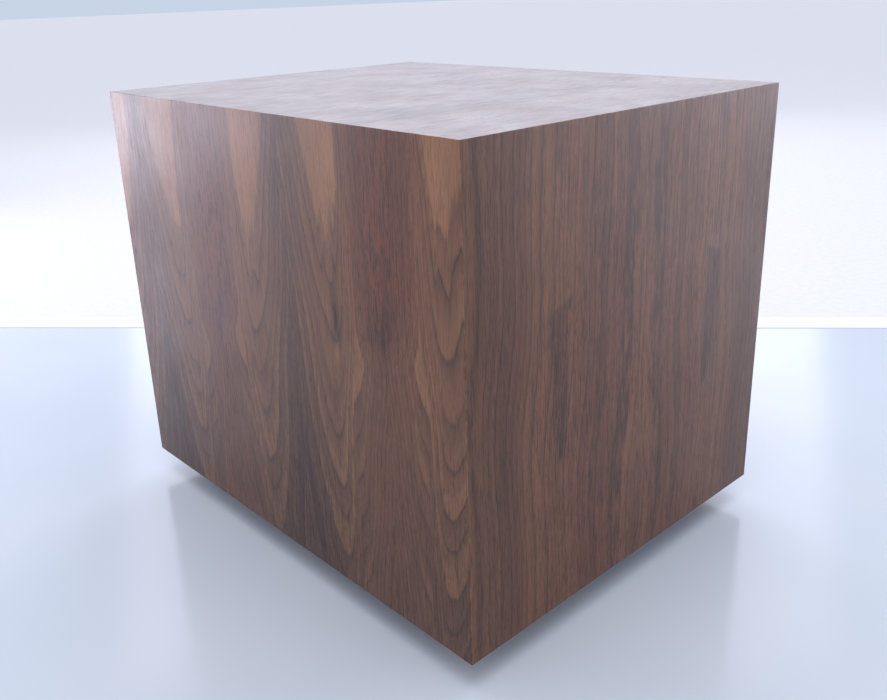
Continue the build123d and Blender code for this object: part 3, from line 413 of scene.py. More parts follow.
def crown_figure(across, down, settings):
    """Cathedral figure of crown-cut leaves, book-matched about their joints.

    Let w be the distance from the crown's middle and t the depth, both in cabinet heights. On the side of the
    dark joint the ring depth is t + (w / 0.185) ** 1.8, which makes nested U shapes whose legs run up along
    the joint. On the side of the red joint it is t + (w / 0.078) ** 2.5, and then straight, with a slope of
    21.5 above the knot and 7.5 below it. There t counts for only 0.55 of itself above the knot, so the lines
    fall straight to the knot, close round it, and fan out beneath. Near the first tips a wave across the
    crown makes them jagged.
    """
    x, level = across / CABINET_HEIGHT, down / CABINET_HEIGHT
    leaf = settings.leaf_width / CABINET_HEIGHT
    turn = (x - settings.first_joint / CABINET_HEIGHT) / leaf
    number = np.floor(turn)
    share = turn - number
    u = np.where(number % 2 == 0, share, 1 - share)         # in leaves from the dark joint
    from_red, from_dark = (1 - u) * leaf, u * leaf
    t = level + LEAF_LIFT * number + 0.010 * np.sin(9 * level + 2.1 * number)
    w = (u - CROWN_PLACE) * leaf + 0.007 * np.sin(6 * t + 1.3 * number) + 0.003 * np.sin(17 * t + number)

    # the depth in rings: flanks, legs, the swelling round the knot, and the jagged tips
    dark_side = (np.clip(-w, 0, None) / DARK_RISE[0]) ** DARK_RISE[1]
    slope = LEG_SLOPES[0] - LEG_SLOPES[1] * steps_in(KNOT_DEPTH - 0.05, KNOT_DEPTH + 0.08, t)
    flank = (np.clip(w, 0, LEGS_FROM) / RED_RISE[0]) ** RED_RISE[1]
    red_side = flank + slope * np.clip(w - LEGS_FROM, 0, None)
    hang = LEG_SHARE * t + (1 - LEG_SHARE) * np.clip(t - KNOT_DEPTH, 0, None)
    over = steps_in(0.04, 0.095, w)
    depth = t * (1 - over) + hang * over + dark_side + red_side
    knot = hump(from_red, 0.035) * hump(t - KNOT_DEPTH, 0.05)
    depth = depth + 0.55 * knot
    notch = w / NOTCH_WIDTH
    jag = np.cos(2 * np.pi * notch + 1.9 * number) + 0.5 * np.cos(4.3 * np.pi * notch + number)
    depth = depth + jag * hump(w, 0.04) * (NOTCH_DEPTH * hump(depth - 0.36, 0.09) + 0.003)
    tips = RING_TIPS + tuple(RING_TIPS[-1] + RING_PACE * (i + 1) for i in range(RING_COUNT))
    ring = np.interp(depth, tips, np.arange(1, len(tips) + 1)) + np.clip(depth - RING_TIPS[0], None, 0) * 2

    # the tan, which is weaker in the legs above the knot
    places, tones = zip(*RING_TONES)
    light = np.interp(depth, places, tones)
    light = light * (1 - 0.35 * steps_in(0.2, 0.7, over) * (1 - steps_in(0.42, 0.56, t)))

    # the dark: along the dark joint and wider towards the foot, round the knot, and one eye with a pale core
    # on the third leaf; and painted shade, which darkens each crown face from a quarter of the way down to
    # its foot
    dark = 0.62 * hump(from_dark, 0.055 + 0.035 * np.clip(t, 0, 1))
    # the last term is the painted shade towards the foot of each crown face, front and rear
    dark = dark + 0.4 * hump(from_dark, 0.13) * steps_in(0.78, 1.0, level) + 0.55 * steps_in(0.25, 1.0, level)
    eye = np.where(number == 2, hump(w - 0.004, 0.012) * hump(level - 0.385, 0.05), 0)
    core = np.where(number == 2, hump(w - 0.004, 0.006) * hump(level - 0.45, 0.022), 0)
    blotch = 0.6 + 0.4 * np.sin(160 * from_red + 3 * np.sin(70 * t)) * np.sin(95 * t)
    dark = np.clip(dark, 0, 1) + 1.5 * eye - 1.6 * core + 0.9 * knot * blotch
    dark, light = np.clip(dark, 0, 1.6), np.clip(light + core, 0, 1)

    red = hump(from_red, 0.085) * (0.4 + 0.6 * (1 - steps_in(0.44, 0.6, t)))
    red = red * (0.6 + 0.4 * steps_in(0.0, 0.3, t))
    ragged = 0.10 + 0.25 * hump(w, 0.045) * (1 - steps_in(0.38, 0.5, depth))
    return {"ring": ring, "light": light, "dark": dark, "red": red, "ragged": ragged}


def straight_figure(across, down, _):
    """Quarter-cut figure, mirrored about the middle joint: nearly straight lines, with a few darker patches.

    The ring number is 26 times the distance from the middle in cabinet heights, plus slow waves.
    """
    x, t = across / CABINET_HEIGHT, down / CABINET_HEIGHT
    fold = np.abs(x - FOLD_PLACE)
    lines = fold + (0.012 * np.sin(5.2 * t + 3 * fold) + 0.006 * np.sin(13 * t + 9 * fold))
    ring = 26 * lines + 2.2 * np.sin(21 * lines) + 1.1 * np.sin(47 * lines + 1.0)
    light = 0.42 + 0.16 * np.sin(24 * lines + 1.4) + 0.1 * np.sin(61 * lines)
    light = light + 0.08 * np.sin(4 * t + 5 * fold)

    # one dark patch on each side of the fold, with slanting ends
    edge_in = 0.228 + 0.012 * steps_in(0.33, 0.36, t)
    edge_out = 0.293 - 0.012 * steps_in(0.40, 0.46, t) - 0.02 * steps_in(0.58, 0.66, t)
    patch = steps_in(-0.003, 0.003, fold - edge_in) * (1 - steps_in(-0.004, 0.004, fold - edge_out))
    patch = patch * steps_in(-0.006, 0.006, t - 0.335 - 0.35 * (fold - 0.26))
    patch = patch * (1 - steps_in(-0.006, 0.006, t - 0.655 + 0.4 * (fold - 0.26)))

    spine = hump(fold - 0.015, 0.03) * (0.55 + 0.45 * np.sin(6 * t + 1))
    upper = hump(fold - 0.27, 0.02) * (1 - steps_in(0.04, 0.12, t))
    side = hump(fold - 0.44, 0.06)
    dark = np.clip(0.62 * patch + 0.35 * spine + 0.4 * upper + 0.3 * side + 0.16, 0, 1)
    red = 0.35 + 0.25 * np.sin(9 * lines + 0.4)
    return {"ring": ring, "light": light, "dark": dark, "red": red, "ragged": np.full_like(x, 0.2)}


def edge_lines(length, settings, mitred_low, extra):
    """Places of the grid's lines: close over each rounded edge, even between, and on both sides of each extra
    place."""
    r = settings.arris
    quarter = np.linspace(math.pi / 2, 0, 6)
    eighth = np.linspace(math.pi / 4, 0, 4)
    low = r * (1 - np.sin(eighth if mitred_low else quarter))
    high = length - r * (1 - np.sin(eighth))[::-1]
    support = r + 0.4 * MM
    count = int(round((length - 2 * support) / settings.step))
    even = np.linspace(support, length - support, count + 1)
    gap = 0.1 * MM
    pairs = [[e - gap, e + gap] for e in extra if support < e < length - support]
    lines = np.concatenate([low, even, high] + pairs)
    return np.unique(np.round(lines, 7))


def nicks(along, seed):
    """Small dents worn into an edge: a few bells at random places along it."""
    random = np.random.default_rng(seed)
    places = random.uniform(0, NICK_REACH, NICK_COUNT)
    widths = random.uniform(0.6 * MM, 2.2 * MM, NICK_COUNT)
    depths = random.uniform(0.02, 0.16, NICK_COUNT) ** 1.5
    bells = depths[:, None] * np.exp(-((along.ravel()[None, :] - places[:, None]) / widths[:, None]) ** 2)
    return bells.sum(0).reshape(along.shape) * MM


def with_lines(lines, places, step):
    """Grid lines moved so that one lies on each given place."""
    kept = lines[np.min(np.abs(lines[:, None] - np.array(places)[None, :]), 1) > 0.6 * step]
    return np.unique(np.concatenate([kept, places]))


def skin(name, figure, material, settings, window=None):
    """A veneer as a closed thin shell.

    Its outer side is a grid over the wall, which dips by r - sqrt(r * r - (r - d) ** 2) where the distance d
    from the edge is less than the arris radius r. Its rim follows the mitre to the back, and the back is
    flat.
    """
    corner, across, up = np.array(WALLS[name], float)
    out = np.cross(across, up)
    low, high = np.array(CABINET_LOW), np.array(CABINET_HIGH)
    origin = low + corner * (high - low)
    size = high - low
    width, height = abs(across @ size), abs(up @ size)
    # the walls' skins end square at the bottom, and the top is mitred all round
    square_foot = name != "top"
    joints = [settings.first_joint + i * settings.leaf_width for i in range(-1, 5)]
    hole_a, hole_b = window or ((), ())
    lines_a = edge_lines(width, settings, True, joints if figure is crown_figure else ())
    lines_b = edge_lines(height, settings, not square_foot, ())
    if window:
        lines_a = with_lines(lines_a, hole_a, settings.step)
        lines_b = with_lines(lines_b, hole_b, settings.step)
    a, b = np.meshgrid(lines_a, lines_b)
    r = settings.arris
    from_edge = np.minimum(np.minimum(a, width - a), np.minimum(b, height - b))
    over = np.clip(r - from_edge, 0, r)
    dip = r - np.sqrt(np.clip(r * r - over * over, 0, None))
    worn = np.zeros_like(dip)
    for i, (distance, along) in enumerate(((a, b), (width - a, b), (b, a), (height - b, a))):
        worn = np.maximum(worn, nicks(along, 7 + i) * np.clip(1 - distance / (0.9 * MM), 0, 1))
    points = origin + a[..., None] * across + b[..., None] * up - (dip + worn)[..., None] * out
    rows, columns = a.shape
    faces = grid_faces(rows, columns)
    attributes = figure(a, height - b, settings)
    attributes["rim"] = np.clip(from_edge / MM, 0, 8)
    if window:
        middle_a = (lines_a[:-1] + lines_a[1:]) / 2
        middle_b = (lines_b[:-1] + lines_b[1:]) / 2
        inside = (middle_b[:, None] > hole_b[0]) & (middle_b[:, None] < hole_b[1]) \
            & (middle_a[None, :] > hole_a[0]) & (middle_a[None, :] < hole_a[1])
        faces = faces[~inside.ravel()]

    def loop(i0, i1, j0, j1):
        """The points round a rectangle of the grid, anticlockwise from its lower left."""
        return [*(i0 * columns + j for j in range(j0, j1)), *(i * columns + j1 for i in range(i0, i1)),
                *(i1 * columns + j for j in range(j1, j0, -1)),
                *(i * columns + j0 for i in range(i1, i0, -1))]

    flat = points.reshape(-1, 3)
    values = {key: value.ravel() for key, value in attributes.items()}
    all_faces = faces.tolist()
    border = loop(0, rows - 1, 0, columns - 1)
    inset_a = np.clip(a.ravel()[border], VENEER, width - VENEER)
    foot = 0.0 if square_foot else VENEER
    inset_b = np.clip(b.ravel()[border], foot, height - VENEER)
    back = origin + inset_a[:, None] * across + inset_b[:, None] * up - VENEER * out
    rings = [(border, back)]
    if window:
        j0, j1 = (int(np.argmin(np.abs(lines_a - h))) for h in hole_a)
        i0, i1 = (int(np.argmin(np.abs(lines_b - h))) for h in hole_b)
        inner = loop(i0, i1, j0, j1)
        rings.append((inner, flat[inner] - VENEER * out))
    starts = []
    for number, (edge, deep) in enumerate(rings):
        start = len(flat)
        starts.append(start)
        flat = np.concatenate([flat, deep])
        values = {key: np.concatenate([value, value[edge]]) for key, value in values.items()}
        n = len(edge)
        for k in range(n):
            m = (k + 1) % n
            quad = [edge[m], edge[k], start + k, start + m]
            all_faces.append(quad if number == 0 else quad[::-1])
    n = len(border)
    if not window:
        all_faces.append([starts[0] + k for k in range(n)][::-1])
    else:
        corners = [0, columns - 1, columns + rows - 2, 2 * columns + rows - 3, n]
        turns = [0, j1 - j0, j1 - j0 + i1 - i0, 2 * (j1 - j0) + i1 - i0, len(inner)]
        for side in range(4):
            outer_run = [starts[0] + k % n for k in range(corners[side], corners[side + 1] + 1)]
            inner_run = [starts[1] + k % len(inner) for k in range(turns[side], turns[side + 1] + 1)]
            all_faces.append((outer_run + inner_run[::-1])[::-1])
    piece = make_piece(f"{name}_walnut", flat, all_faces, material, "cabinet", values)
    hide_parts(f"{name}_veneer")
    return piece


def lacquered_walnut(name, settings, along, darker, gloss, index, pore_depth):
    """American walnut veneer under clear satin lacquer: rings, pores and fibres run with the grain, and the
    film gives one soft, even gloss over all of them. Along is the grain's axis, darker deepens the whole
    leaf, gloss is the film's roughness, index how strongly it mirrors, and pore_depth the pores' depth in mm
    under it."""
    finish = Finish(name, IOR=index)
    ring, light, dark, red, ragged, rim = map(finish.read, ("ring", "light", "dark", "red", "ragged", "rim"))

    def stretched(across_mm, along_mm):
        """A blob size drawn out along the grain."""
        return tuple(along_mm if axis == along else across_mm for axis in "XYZ")

    # ring lines wander by a fraction of their spacing, more where the crown's tips are ragged
    wander = finish.noise(stretched(7, 34), rough=0.6)
    count = ring + (wander - 0.5) * (ragged * 2.2)
    line = put(finish.tree, "ShaderNodeValToRGB", {"Fac": count.fraction()}, stops=[
        (place, (tone, tone, tone, 1.0)) for place, tone in LINE_TONES]).outputs["Color"]
    strength = finish.dice((count + 0.5).whole())
    line = strength.spread(0, 1, 0.45, 1.0) * line

    # pores: short dark strokes about a millimetre wide, which is as fine as shows, up to 16 mm long
    pores = finish.noise(stretched(1.5, 24), rough=0.6).spread(0.52, 0.64)
    flecks = finish.noise(stretched(1.15, 9), 2.0).spread(0.53, 0.62)
    fibres = finish.noise(stretched(2.1, 130), 4.0, 0.7)
    cloud = finish.noise(stretched(26, 120))

    colour = finish.mix(light, settings.brown, settings.tan)
    colour = finish.mix(red * 0.8, colour, settings.russet)
    # the dark heartwood together with the painted shade at the foot of the crown faces; both are mixed in as
    # umber below
    heart_and_shade = dark.least(1.0)
    streaked = fibres.spread(0.32, 0.68, 0.35, 1.35) * strength.spread(0, 1, 1.25, 0.55)
    colour = finish.mix(heart_and_shade * streaked, colour, settings.umber)
    colour = finish.mix(line * 0.72, colour, "33211a")
    # pores and flecks show more where the wood is dark, which includes the painted shade at the crown faces'
    # foot
    busy = dark.most(red) * 0.55 + 0.22
    colour = finish.mix(pores * busy, colour, "2b1b15")
    colour = finish.mix(flecks * (busy * 0.8), colour, "35211a")
    colour = finish.mix(dark.spread(1.0, 1.5, 0, 0.85), colour, "1d1312")

    # broad light and dark streaks, stronger in the heartwood, in the painted shade at the crown faces' foot
    # and in the red wood, and slow clouds over the leaf
    swing = fibres.spread(0.34, 0.66, -1.0, 1.0) * heart_and_shade.most(red).spread(0, 1, 0.10, 0.30)
    tint = (swing + 0.97) * cloud.spread(0.25, 0.75, 0.88, 1.12) * darker
    grey = put(finish.tree, "ShaderNodeCombineColor", {"Red": tint, "Green": tint, "Blue": tint})
    colour = finish.mix(1.0, colour, grey.outputs["Color"], "MULTIPLY")
    worn = rim.spread(0.1, 0.8, 1.0, 0.0) * finish.noise(9).spread(0.45, 0.65)
    colour = finish.mix(worn * 0.55, colour, "a98a74")
    film = finish.noise(60, 2.0).spread(0.3, 0.7, gloss - 0.03, gloss + 0.04) + pores * 0.08
    finish.drive(Base_Color=colour, Roughness=film,
                 Normal=finish.relief(fibres * 0.35 - pores, pore_depth, 0.6))
    return finish.material


class SUBWOOFER_OT_veneers(bpy.types.Operator):
    """Lay the five walnut veneers, with crown figure at the front and rear and straight figure elsewhere"""
    bl_idname = "subwoofer.veneers"
    bl_label = "Walnut veneers"

    def execute(self, context):
        settings = context.scene.subwoofer_veneer
        satin = (settings.gloss, 1.45, 0.035)
        thick = (settings.top_gloss, 1.62, 0.008)
        crown = lacquered_walnut("walnut_crown_cut_satin_lacquer", settings, "Z", 1.0, *satin)
        straight = lacquered_walnut("walnut_quarter_cut_satin_lacquer", settings, "Z", 0.84, *satin)
        over_top = lacquered_walnut("walnut_top_thick_lacquer", settings, "Y", 0.60, *thick)
        gap = 0.5 * MM
        window_a = (CABINET_HIGH.x - PLATE_BOX[1].x - gap, CABINET_HIGH.x - PLATE_BOX[0].x + gap)
        window_b = (PLATE_BOX[0].z - CABINET_LOW.z - gap, PLATE_BOX[1].z - CABINET_LOW.z + gap)
        skin("front", crown_figure, crown, settings)
        skin("rear", crown_figure, crown, settings, (window_a, window_b))
        skin("left", straight_figure, straight, settings)
        skin("right", straight_figure, straight, settings)
        skin("top", straight_figure, over_top, settings)
        return {"FINISHED"}


# ---- finishes of the carried-over parts ----
def sanded_fibreboard():
    """Raw fibreboard: felted pale fibres with darker flecks of bark, quite matt."""
    finish = Finish("fibreboard_sanded", IOR=1.45)
    flecks = finish.noise(1.3, 4.0, 0.7)
    colour = finish.tones(finish.noise(60), "ad8b63", "c4a57c")
    colour = finish.mix(flecks.spread(0.56, 0.72, 0, 0.6), colour, "6b4f34")
    colour = finish.mix(flecks.spread(0.26, 0.42, 0.5, 0), colour, "dcc6a2")
    return finish.done(colour, flecks.spread(0.3, 0.7, 0.78, 0.9), flecks, 0.12)


def lacquered_board():
    """Fibreboard under black lacquer: a soft gloss, the roller's faint orange peel, and a little dust."""
    finish = Finish("fibreboard_black_lacquer", IOR=1.5)
    peel = finish.noise(2.2, 2.0)
    clouds = finish.noise(90, 4.0)
    dust = finish.noise(0.7, 2.0)
    colour = finish.tones(clouds, "131214", "1d1b1d")
    colour = finish.mix(dust.spread(0.66, 0.78, 0, 0.35), colour, "6f6a66")
    return finish.done(colour, clouds.spread(0.3, 0.7, 0.30, 0.42), peel, 0.05)


def planed_beech():
    """Beech cleats: pinkish straw with the short dark flecks that mark this wood, planed and unfinished."""
    finish = Finish("beech_planed", IOR=1.45)
    flecks = finish.noise((0.9, 0.9, 5.0), 2.0)
    grain = finish.noise((3.5, 3.5, 90), 4.0)
    colour = finish.tones(grain, "b98d66", "d2ab82")
    colour = finish.mix(flecks.spread(0.6, 0.72, 0, 0.75), colour, "84563a")
    return finish.done(colour, grain.spread(0.3, 0.7, 0.58, 0.72), grain, 0.10)


def satin_black_wood():
    """The feet's satin black paint: brushed film that pools a little, rubbed paler where hands and floors
    touch."""
    finish = Finish("foot_satin_black_paint", IOR=1.5)
    film = finish.noise((9, 9, 1.6))
    scuffs = finish.noise((2.5, 14, 14), 5.0, 0.7)
    colour = finish.tones(film, "151416", "232124")
    colour = finish.mix(scuffs.spread(0.62, 0.78, 0, 0.5), colour, "5b5552")
    return finish.done(colour, scuffs.spread(0.4, 0.7, 0.36, 0.55), film, 0.06)


def moulded_rubber():
    """Black rubber: matt and dusty, with the fine grain of its mould and a grey bloom in patches."""
    finish = Finish("rubber_moulded", IOR=1.48)
    bloom = finish.noise(18, 4.0)
    grain = finish.noise(0.6, 2.0)
    colour = finish.mix(bloom.spread(0.3, 0.75), "141416", "2b2b2e")
    colour = finish.mix(grain.spread(0.6, 0.8, 0, 0.25), colour, "46464a")
    return finish.done(colour, bloom.spread(0.3, 0.7, 0.52, 0.7), grain, 0.04)


def black_oxide_steel():
    """Blackened screws: oily dark steel, worn to bright metal on the edges the driver bit has touched."""
    finish = Finish("steel_black_oxide", Metallic=1.0)
    patch = finish.noise(2.0, 4.0)
    colour = finish.mix(patch.spread(0.35, 0.65), "2c2b2c", "434142")
    colour = finish.mix(patch.spread(0.66, 0.74, 0, 0.8), colour, "8c8987")
    return finish.done(colour, patch.spread(0.3, 0.7, 0.34, 0.5), patch, 0.03)


def turned_metal(name, dark, light, pitch_mm, rough):
    """Metal turned on a lathe about a vertical axis: fine level rings and a little tarnish."""
    finish = Finish(name, Metallic=1.0)
    tarnish = finish.noise(4, 4.0)
    rings = finish.noise((60, 60, pitch_mm), 2.0)
    return finish.done(finish.tones(tarnish, dark, light), tarnish.spread(0.3, 0.7, rough, rough + 0.14),
                       rings, 0.02)


def powder_coated_casting():
    """Die-cast aluminium under black powder coat: a lumpy, finely pebbled skin over soft casting edges."""
    finish = Finish("aluminium_casting_powder_coated", IOR=1.5)
    pebble = finish.cells(1.1)
    clouds = finish.noise(30, 4.0)
    colour = finish.tones(clouds, "18181a", "28282b")
    colour = finish.mix(pebble.spread(0.5, 0.8, 0, 0.3), colour, "414146")
    return finish.done(colour, clouds.spread(0.3, 0.7, 0.42, 0.56), pebble, -0.05)


def closed_cell_foam():
    """Sealing foam: dark grey, skinned with tiny open bubbles, and dead matt."""
    finish = Finish("foam_closed_cell", IOR=1.4)
    cells = finish.cells(0.9)
    colour = finish.mix(cells.spread(0.1, 0.6), "131315", "333337")
    return finish.done(colour, cells.spread(0.0, 0.7, 0.8, 0.95), cells, 0.25)


def coated_pulp():
    """Paper pulp pressed to shape and coated black: long matted fibres under a thin, unevenly shiny coat."""
    finish = Finish("paper_pulp_coated", IOR=1.5)
    swirl = finish.noise(1.0, 5.0, 0.7, 2.5)
    coat = finish.noise(22)
    colour = finish.mix(swirl.spread(0.35, 0.65), "121214", "2a292b")
    colour = finish.mix(swirl.spread(0.66, 0.78, 0, 0.4), colour, "57534f")
    return finish.done(colour, coat.spread(0.3, 0.7, 0.38, 0.66), swirl, 0.09)


def wound_coil():
    """The coil: red copper wire in close level turns at the top, on an amber film former with a glued
    seam."""
    finish = Finish("coil_copper_on_film")
    low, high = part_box("voice_coil")
    z = finish.axes()[2]
    wound_from = low.z + 0.42 * (high.z - low.z)
    winding = z.spread(wound_from - 0.1 * MM, wound_from)
    turns = z.waves(0.9 * MM)
    smear = finish.noise((6, 6, 3))
    wire = finish.mix(turns, "6a2f1a", "c8703f")
    film = finish.mix(smear.spread(0.35, 0.65), "8a5a1c", "b98332")
    finish.drive(Metallic=winding)
    return finish.done(finish.mix(winding, film, wire), smear.spread(0.3, 0.7, 0.22, 0.38), turns * winding,
                       0.12)


def zinc_plated_steel():
    """Bright zinc plate: cool silver with a faint yellow and blue cast, drawn lines and dull storage
    spots."""
    finish = Finish("steel_zinc_plated", Metallic=1.0)
    spots = finish.noise(1.4, 4.0)
    colour = finish.tones(finish.noise(16), "b3b9c2", "cfc9b6")
    colour = finish.mix(spots.spread(0.64, 0.76, 0, 0.5), colour, "83878c")
    return finish.done(colour, spots.spread(0.35, 0.7, 0.24, 0.42), finish.noise((40, 1.0, 0.8), 2.0), 0.02)


def sintered_ferrite():
    """Magnet ceramic: charcoal, ground flat with short scratches, and pitted with dark chips."""
    finish = Finish("ferrite_sintered", IOR=2.0)
    pits = finish.noise(1.6, 5.0, 0.7)
    ground = finish.noise((14, 0.9, 0.9), 2.0)
    colour = finish.mix(ground.spread(0.35, 0.65), "26262a", "3a3a3f")
    colour = finish.mix(pits.spread(0.64, 0.72, 0, 0.7), colour, "131316")
    return finish.done(colour, pits.spread(0.3, 0.7, 0.46, 0.7), pits, 0.10)


def sheathed_wire():
    """The driver's two wires: soft plastic sheaths, red on one and black on the other, with a waxy sheen."""
    finish = Finish("wire_plastic_sheath", IOR=1.5)
    low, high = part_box("driver_wires")
    middle = (low.x + high.x) / 2
    side = finish.axes()[0].spread(middle - 0.1 * MM, middle + 0.1 * MM)
    wax = finish.noise((3, 3, 9))
    colour = finish.mix(side, finish.tones(wax, "141416", "26262a"), finish.tones(wax, "7c1713", "a32a20"))
    return finish.done(colour, wax.spread(0.3, 0.7, 0.34, 0.48), wax, 0.03)


def middle_xz(node):
    """The middle of a node as seen from behind, and its half width."""
    low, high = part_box(node)
    return ((low.x + high.x) / 2, (low.z + high.z) / 2), (high.x - low.x) / 2


def knob_scale(x, z, knob):
    """Ink of a knob's scale: a tick every 30 degrees and a fine arc, left open at the bottom."""
    centre, radius = middle_xz(knob)
    away, angle = x.round_about(z, centre)
    step = math.radians(30)
    off_tick = abs((angle / step + 0.5).fraction() - 0.5) * step * away
    ticks = off_tick.spread(0.25 * MM, 0.40 * MM, 1.0, 0.0) * away.band(radius + 1.8 * MM, radius + 4.6 * MM)
    swept = abs(angle).spread(math.radians(155), math.radians(156), 1.0, 0.0)
    return (ticks * swept).most(away.band(radius + 1.5 * MM, radius + 1.9 * MM) * swept)


def thin_frame(x, z, names, margin):
    """Ink of a thin frame that stands a margin off a group of nodes."""
    boxes = [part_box(name) for name in names]
    low_x, high_x = min(b[0].x for b in boxes) - margin, max(b[1].x for b in boxes) + margin
    low_z, high_z = min(b[0].z for b in boxes) - margin, max(b[1].z for b in boxes) + margin
    outer, inner = (x.band(low_x - line, high_x + line) * z.band(low_z - line, high_z + line)
                    for line in (0.25 * MM, -0.25 * MM))
    return outer - inner


def printed_anodised_plate():
    """Brushed, black anodised aluminium, silk-screened in off-white: a scale of ticks round each knob, a
    coloured ring round each line socket, and a thin frame round each group."""
    finish = Finish("aluminium_brushed_black_anodised", Metallic=0.0, IOR=1.45)
    x, _, z = finish.axes()
    lines = finish.noise((60, 60, 0.7), rough=0.7)
    clouds = finish.noise(45)
    colour = finish.tones(lines, "151517", "29292c")
    colour = finish.mix(clouds.spread(0.3, 0.7, 0, 0.3), colour, "2f2c30")
    ink = knob_scale(x, z, "level_knob").most(knob_scale(x, z, "crossover_knob"))
    for names, margin in ((("level_knob", "crossover_knob", "phase_toggle", "status_light"), 9 * MM),
                          (("line_sockets",), 8 * MM), (("mains_inlet", "mains_rocker"), 6 * MM)):
        ink = ink.most(thin_frame(x, z, names, margin) * 0.7)
    colour = finish.mix(ink * clouds.spread(0.2, 0.5, 0.75, 0.95), colour, "d4d3cd")
    low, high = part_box("line_sockets")
    radius = (high.z - low.z) / 2
    first, pitch = low.x + radius, (high.x - low.x - 2 * radius) / 3
    for i, code in enumerate(("d8d6cf", "a8281f") * 2):
        away, _ = x.round_about(z, (first + i * pitch, (low.z + high.z) / 2))
        colour = finish.mix(away.band(radius + 0.8 * MM, radius + 2.2 * MM), colour, code)
    return finish.done(colour, lines.spread(0.3, 0.7, 0.30, 0.42), lines, 0.02)


def etched_board():
    """The circuit board: green resist over copper tracks, with rows of tinned pads."""
    finish = Finish("circuit_board_green_resist", IOR=1.5)
    x, _, z = finish.axes()
    tracks = finish.cells(7, distance="CHEBYCHEV", feature="F1").waves(0.22)
    glass = finish.noise(1.2, 2.0)
    colour = finish.mix(tracks.spread(0.55, 0.62), "0f3a22", "2b6a3a")
    colour = finish.mix(glass.spread(0.3, 0.7, 0, 0.3), colour, "1a4a2c")
    pad_x, pad_z = ((axis / (5.08 * MM)).fraction() for axis in (x, z))
    from_pad, _ = pad_x.round_about(pad_z, (0.5, 0.5))
    pads = from_pad.spread(0.16, 0.19, 1.0, 0.0)
    finish.drive(Metallic=pads)
    return finish.done(finish.mix(pads, colour, "b9b7ae"), glass.spread(0.3, 0.7, 0.28, 0.4), tracks + pads,
                       0.05)


def sleeved_cans():
    """Smoothing capacitors: a dark blue shrunk sleeve with one pale stripe, and bare aluminium on the end."""
    finish = Finish("capacitor_sleeve_and_aluminium", IOR=1.5)
    _, y, z = finish.axes()
    low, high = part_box("capacitors")
    end = y.spread(low.y + 0.9 * MM, low.y + 1.2 * MM, 1.0, 0.0)
    stripe = z.spread(high.z - 2.6 * MM, high.z - 2.3 * MM)
    wrinkle = finish.noise((9, 2.5, 9), 4.0)
    colour = finish.mix(stripe, finish.tones(wrinkle, "151b3a", "202950"), "b8bcc6")
    bare = finish.tones(wrinkle, "b4b5b8", "cfd0d2")
    finish.drive(Metallic=end)
    return finish.done(finish.mix(end, colour, bare), wrinkle.spread(0.3, 0.7, 0.26, 0.4), wrinkle, 0.05)


def taped_winding():
    """The transformer: amber polyester tape in overlapping turns through the bore, each edge a thin dark
    step."""
    finish = Finish("transformer_polyester_tape", IOR=1.55)
    x, _, z = finish.axes()
    _, angle = x.round_about(z, middle_xz("transformer")[0])
    turn = angle * (46 / (2 * math.pi))
    lap = turn.fraction()
    wrinkle = finish.noise(5, 4.0)
    colour = finish.mix(finish.dice(turn.whole()), "a9752a", "c9963f")
    colour = finish.mix(lap.spread(0.84, 0.97, 0, 0.8), colour, "5c3a12")
    return finish.done(colour, wrinkle.spread(0.3, 0.7, 0.22, 0.4), lap + wrinkle, 0.12)


def knob_plastic():
    """The knobs' matt black plastic: fine moulding grain, and one painted pointer line."""
    finish = Finish("knob_plastic_black", IOR=1.5)
    x, y, z = finish.axes()
    hands = finish.noise(6, 4.0)
    colour = finish.tones(hands, "131315", "222225")
    for knob in ("level_knob", "crossover_knob"):
        (at_x, at_z), _ = middle_xz(knob)
        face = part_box(knob)[1].y
        pointer = x.band(at_x - 0.55 * MM, at_x + 0.55 * MM) * z.band(at_z + 2.5 * MM, at_z + 8.6 * MM)
        colour = finish.mix(pointer * y.spread(face - 0.9 * MM, face - 0.7 * MM), colour, "dcdad2")
    return finish.done(colour, hands.spread(0.3, 0.7, 0.38, 0.55), finish.noise(0.5, 2.0), 0.03)


def nickel_plate():
    """Nickel on brass: warm silver, polished, with hairline scratches and the odd fingerprint."""
    finish = Finish("brass_nickel_plated", Metallic=1.0)
    prints = finish.noise(5, 4.0)
    scratches = finish.noise((12, 0.6, 0.6), 2.0)
    return finish.done(finish.tones(prints, "b8b2a6", "d3cec4"), prints.spread(0.3, 0.7, 0.14, 0.3),
                       scratches, 0.01)


def moulded_plastic(name, dark, light, rough):
    """Injection-moulded plastic: spark-eroded grain all over, and hands' gloss in patches."""
    return two_tone(name, dark, light, 12, rough, 0.55, 0.035, IOR=1.5)


def milky_lens():
    """The status light's lens: clear plastic with a milky blue core, unlit."""
    finish = Finish("lens_milky_plastic", IOR=1.49, Transmission_Weight=0.35)
    cloud = finish.noise(1.5)
    return finish.done(finish.tones(cloud, "8fb4d6", "c3d8ea"), cloud.spread(0.3, 0.7, 0.08, 0.2), cloud,
                       0.02)


def woven_spider_cloth():
    """Cotton set with resin: square open weave, honey yellow, darker where the resin has gathered."""
    finish = Finish("cloth_resin_set", IOR=1.5)
    x, y, _ = finish.axes()
    one, other = x.waves(1.0 * MM), y.waves(1.0 * MM)
    resin = finish.noise(14, 4.0)
    colour = finish.tones(resin, "b58a3c", "d1aa5e")
    colour = finish.mix((one * other).spread(0.0, 0.2, 0.75, 0), colour, "4e3410")
    return finish.done(colour, resin.spread(0.3, 0.7, 0.45, 0.65), one.most(other), 0.16)


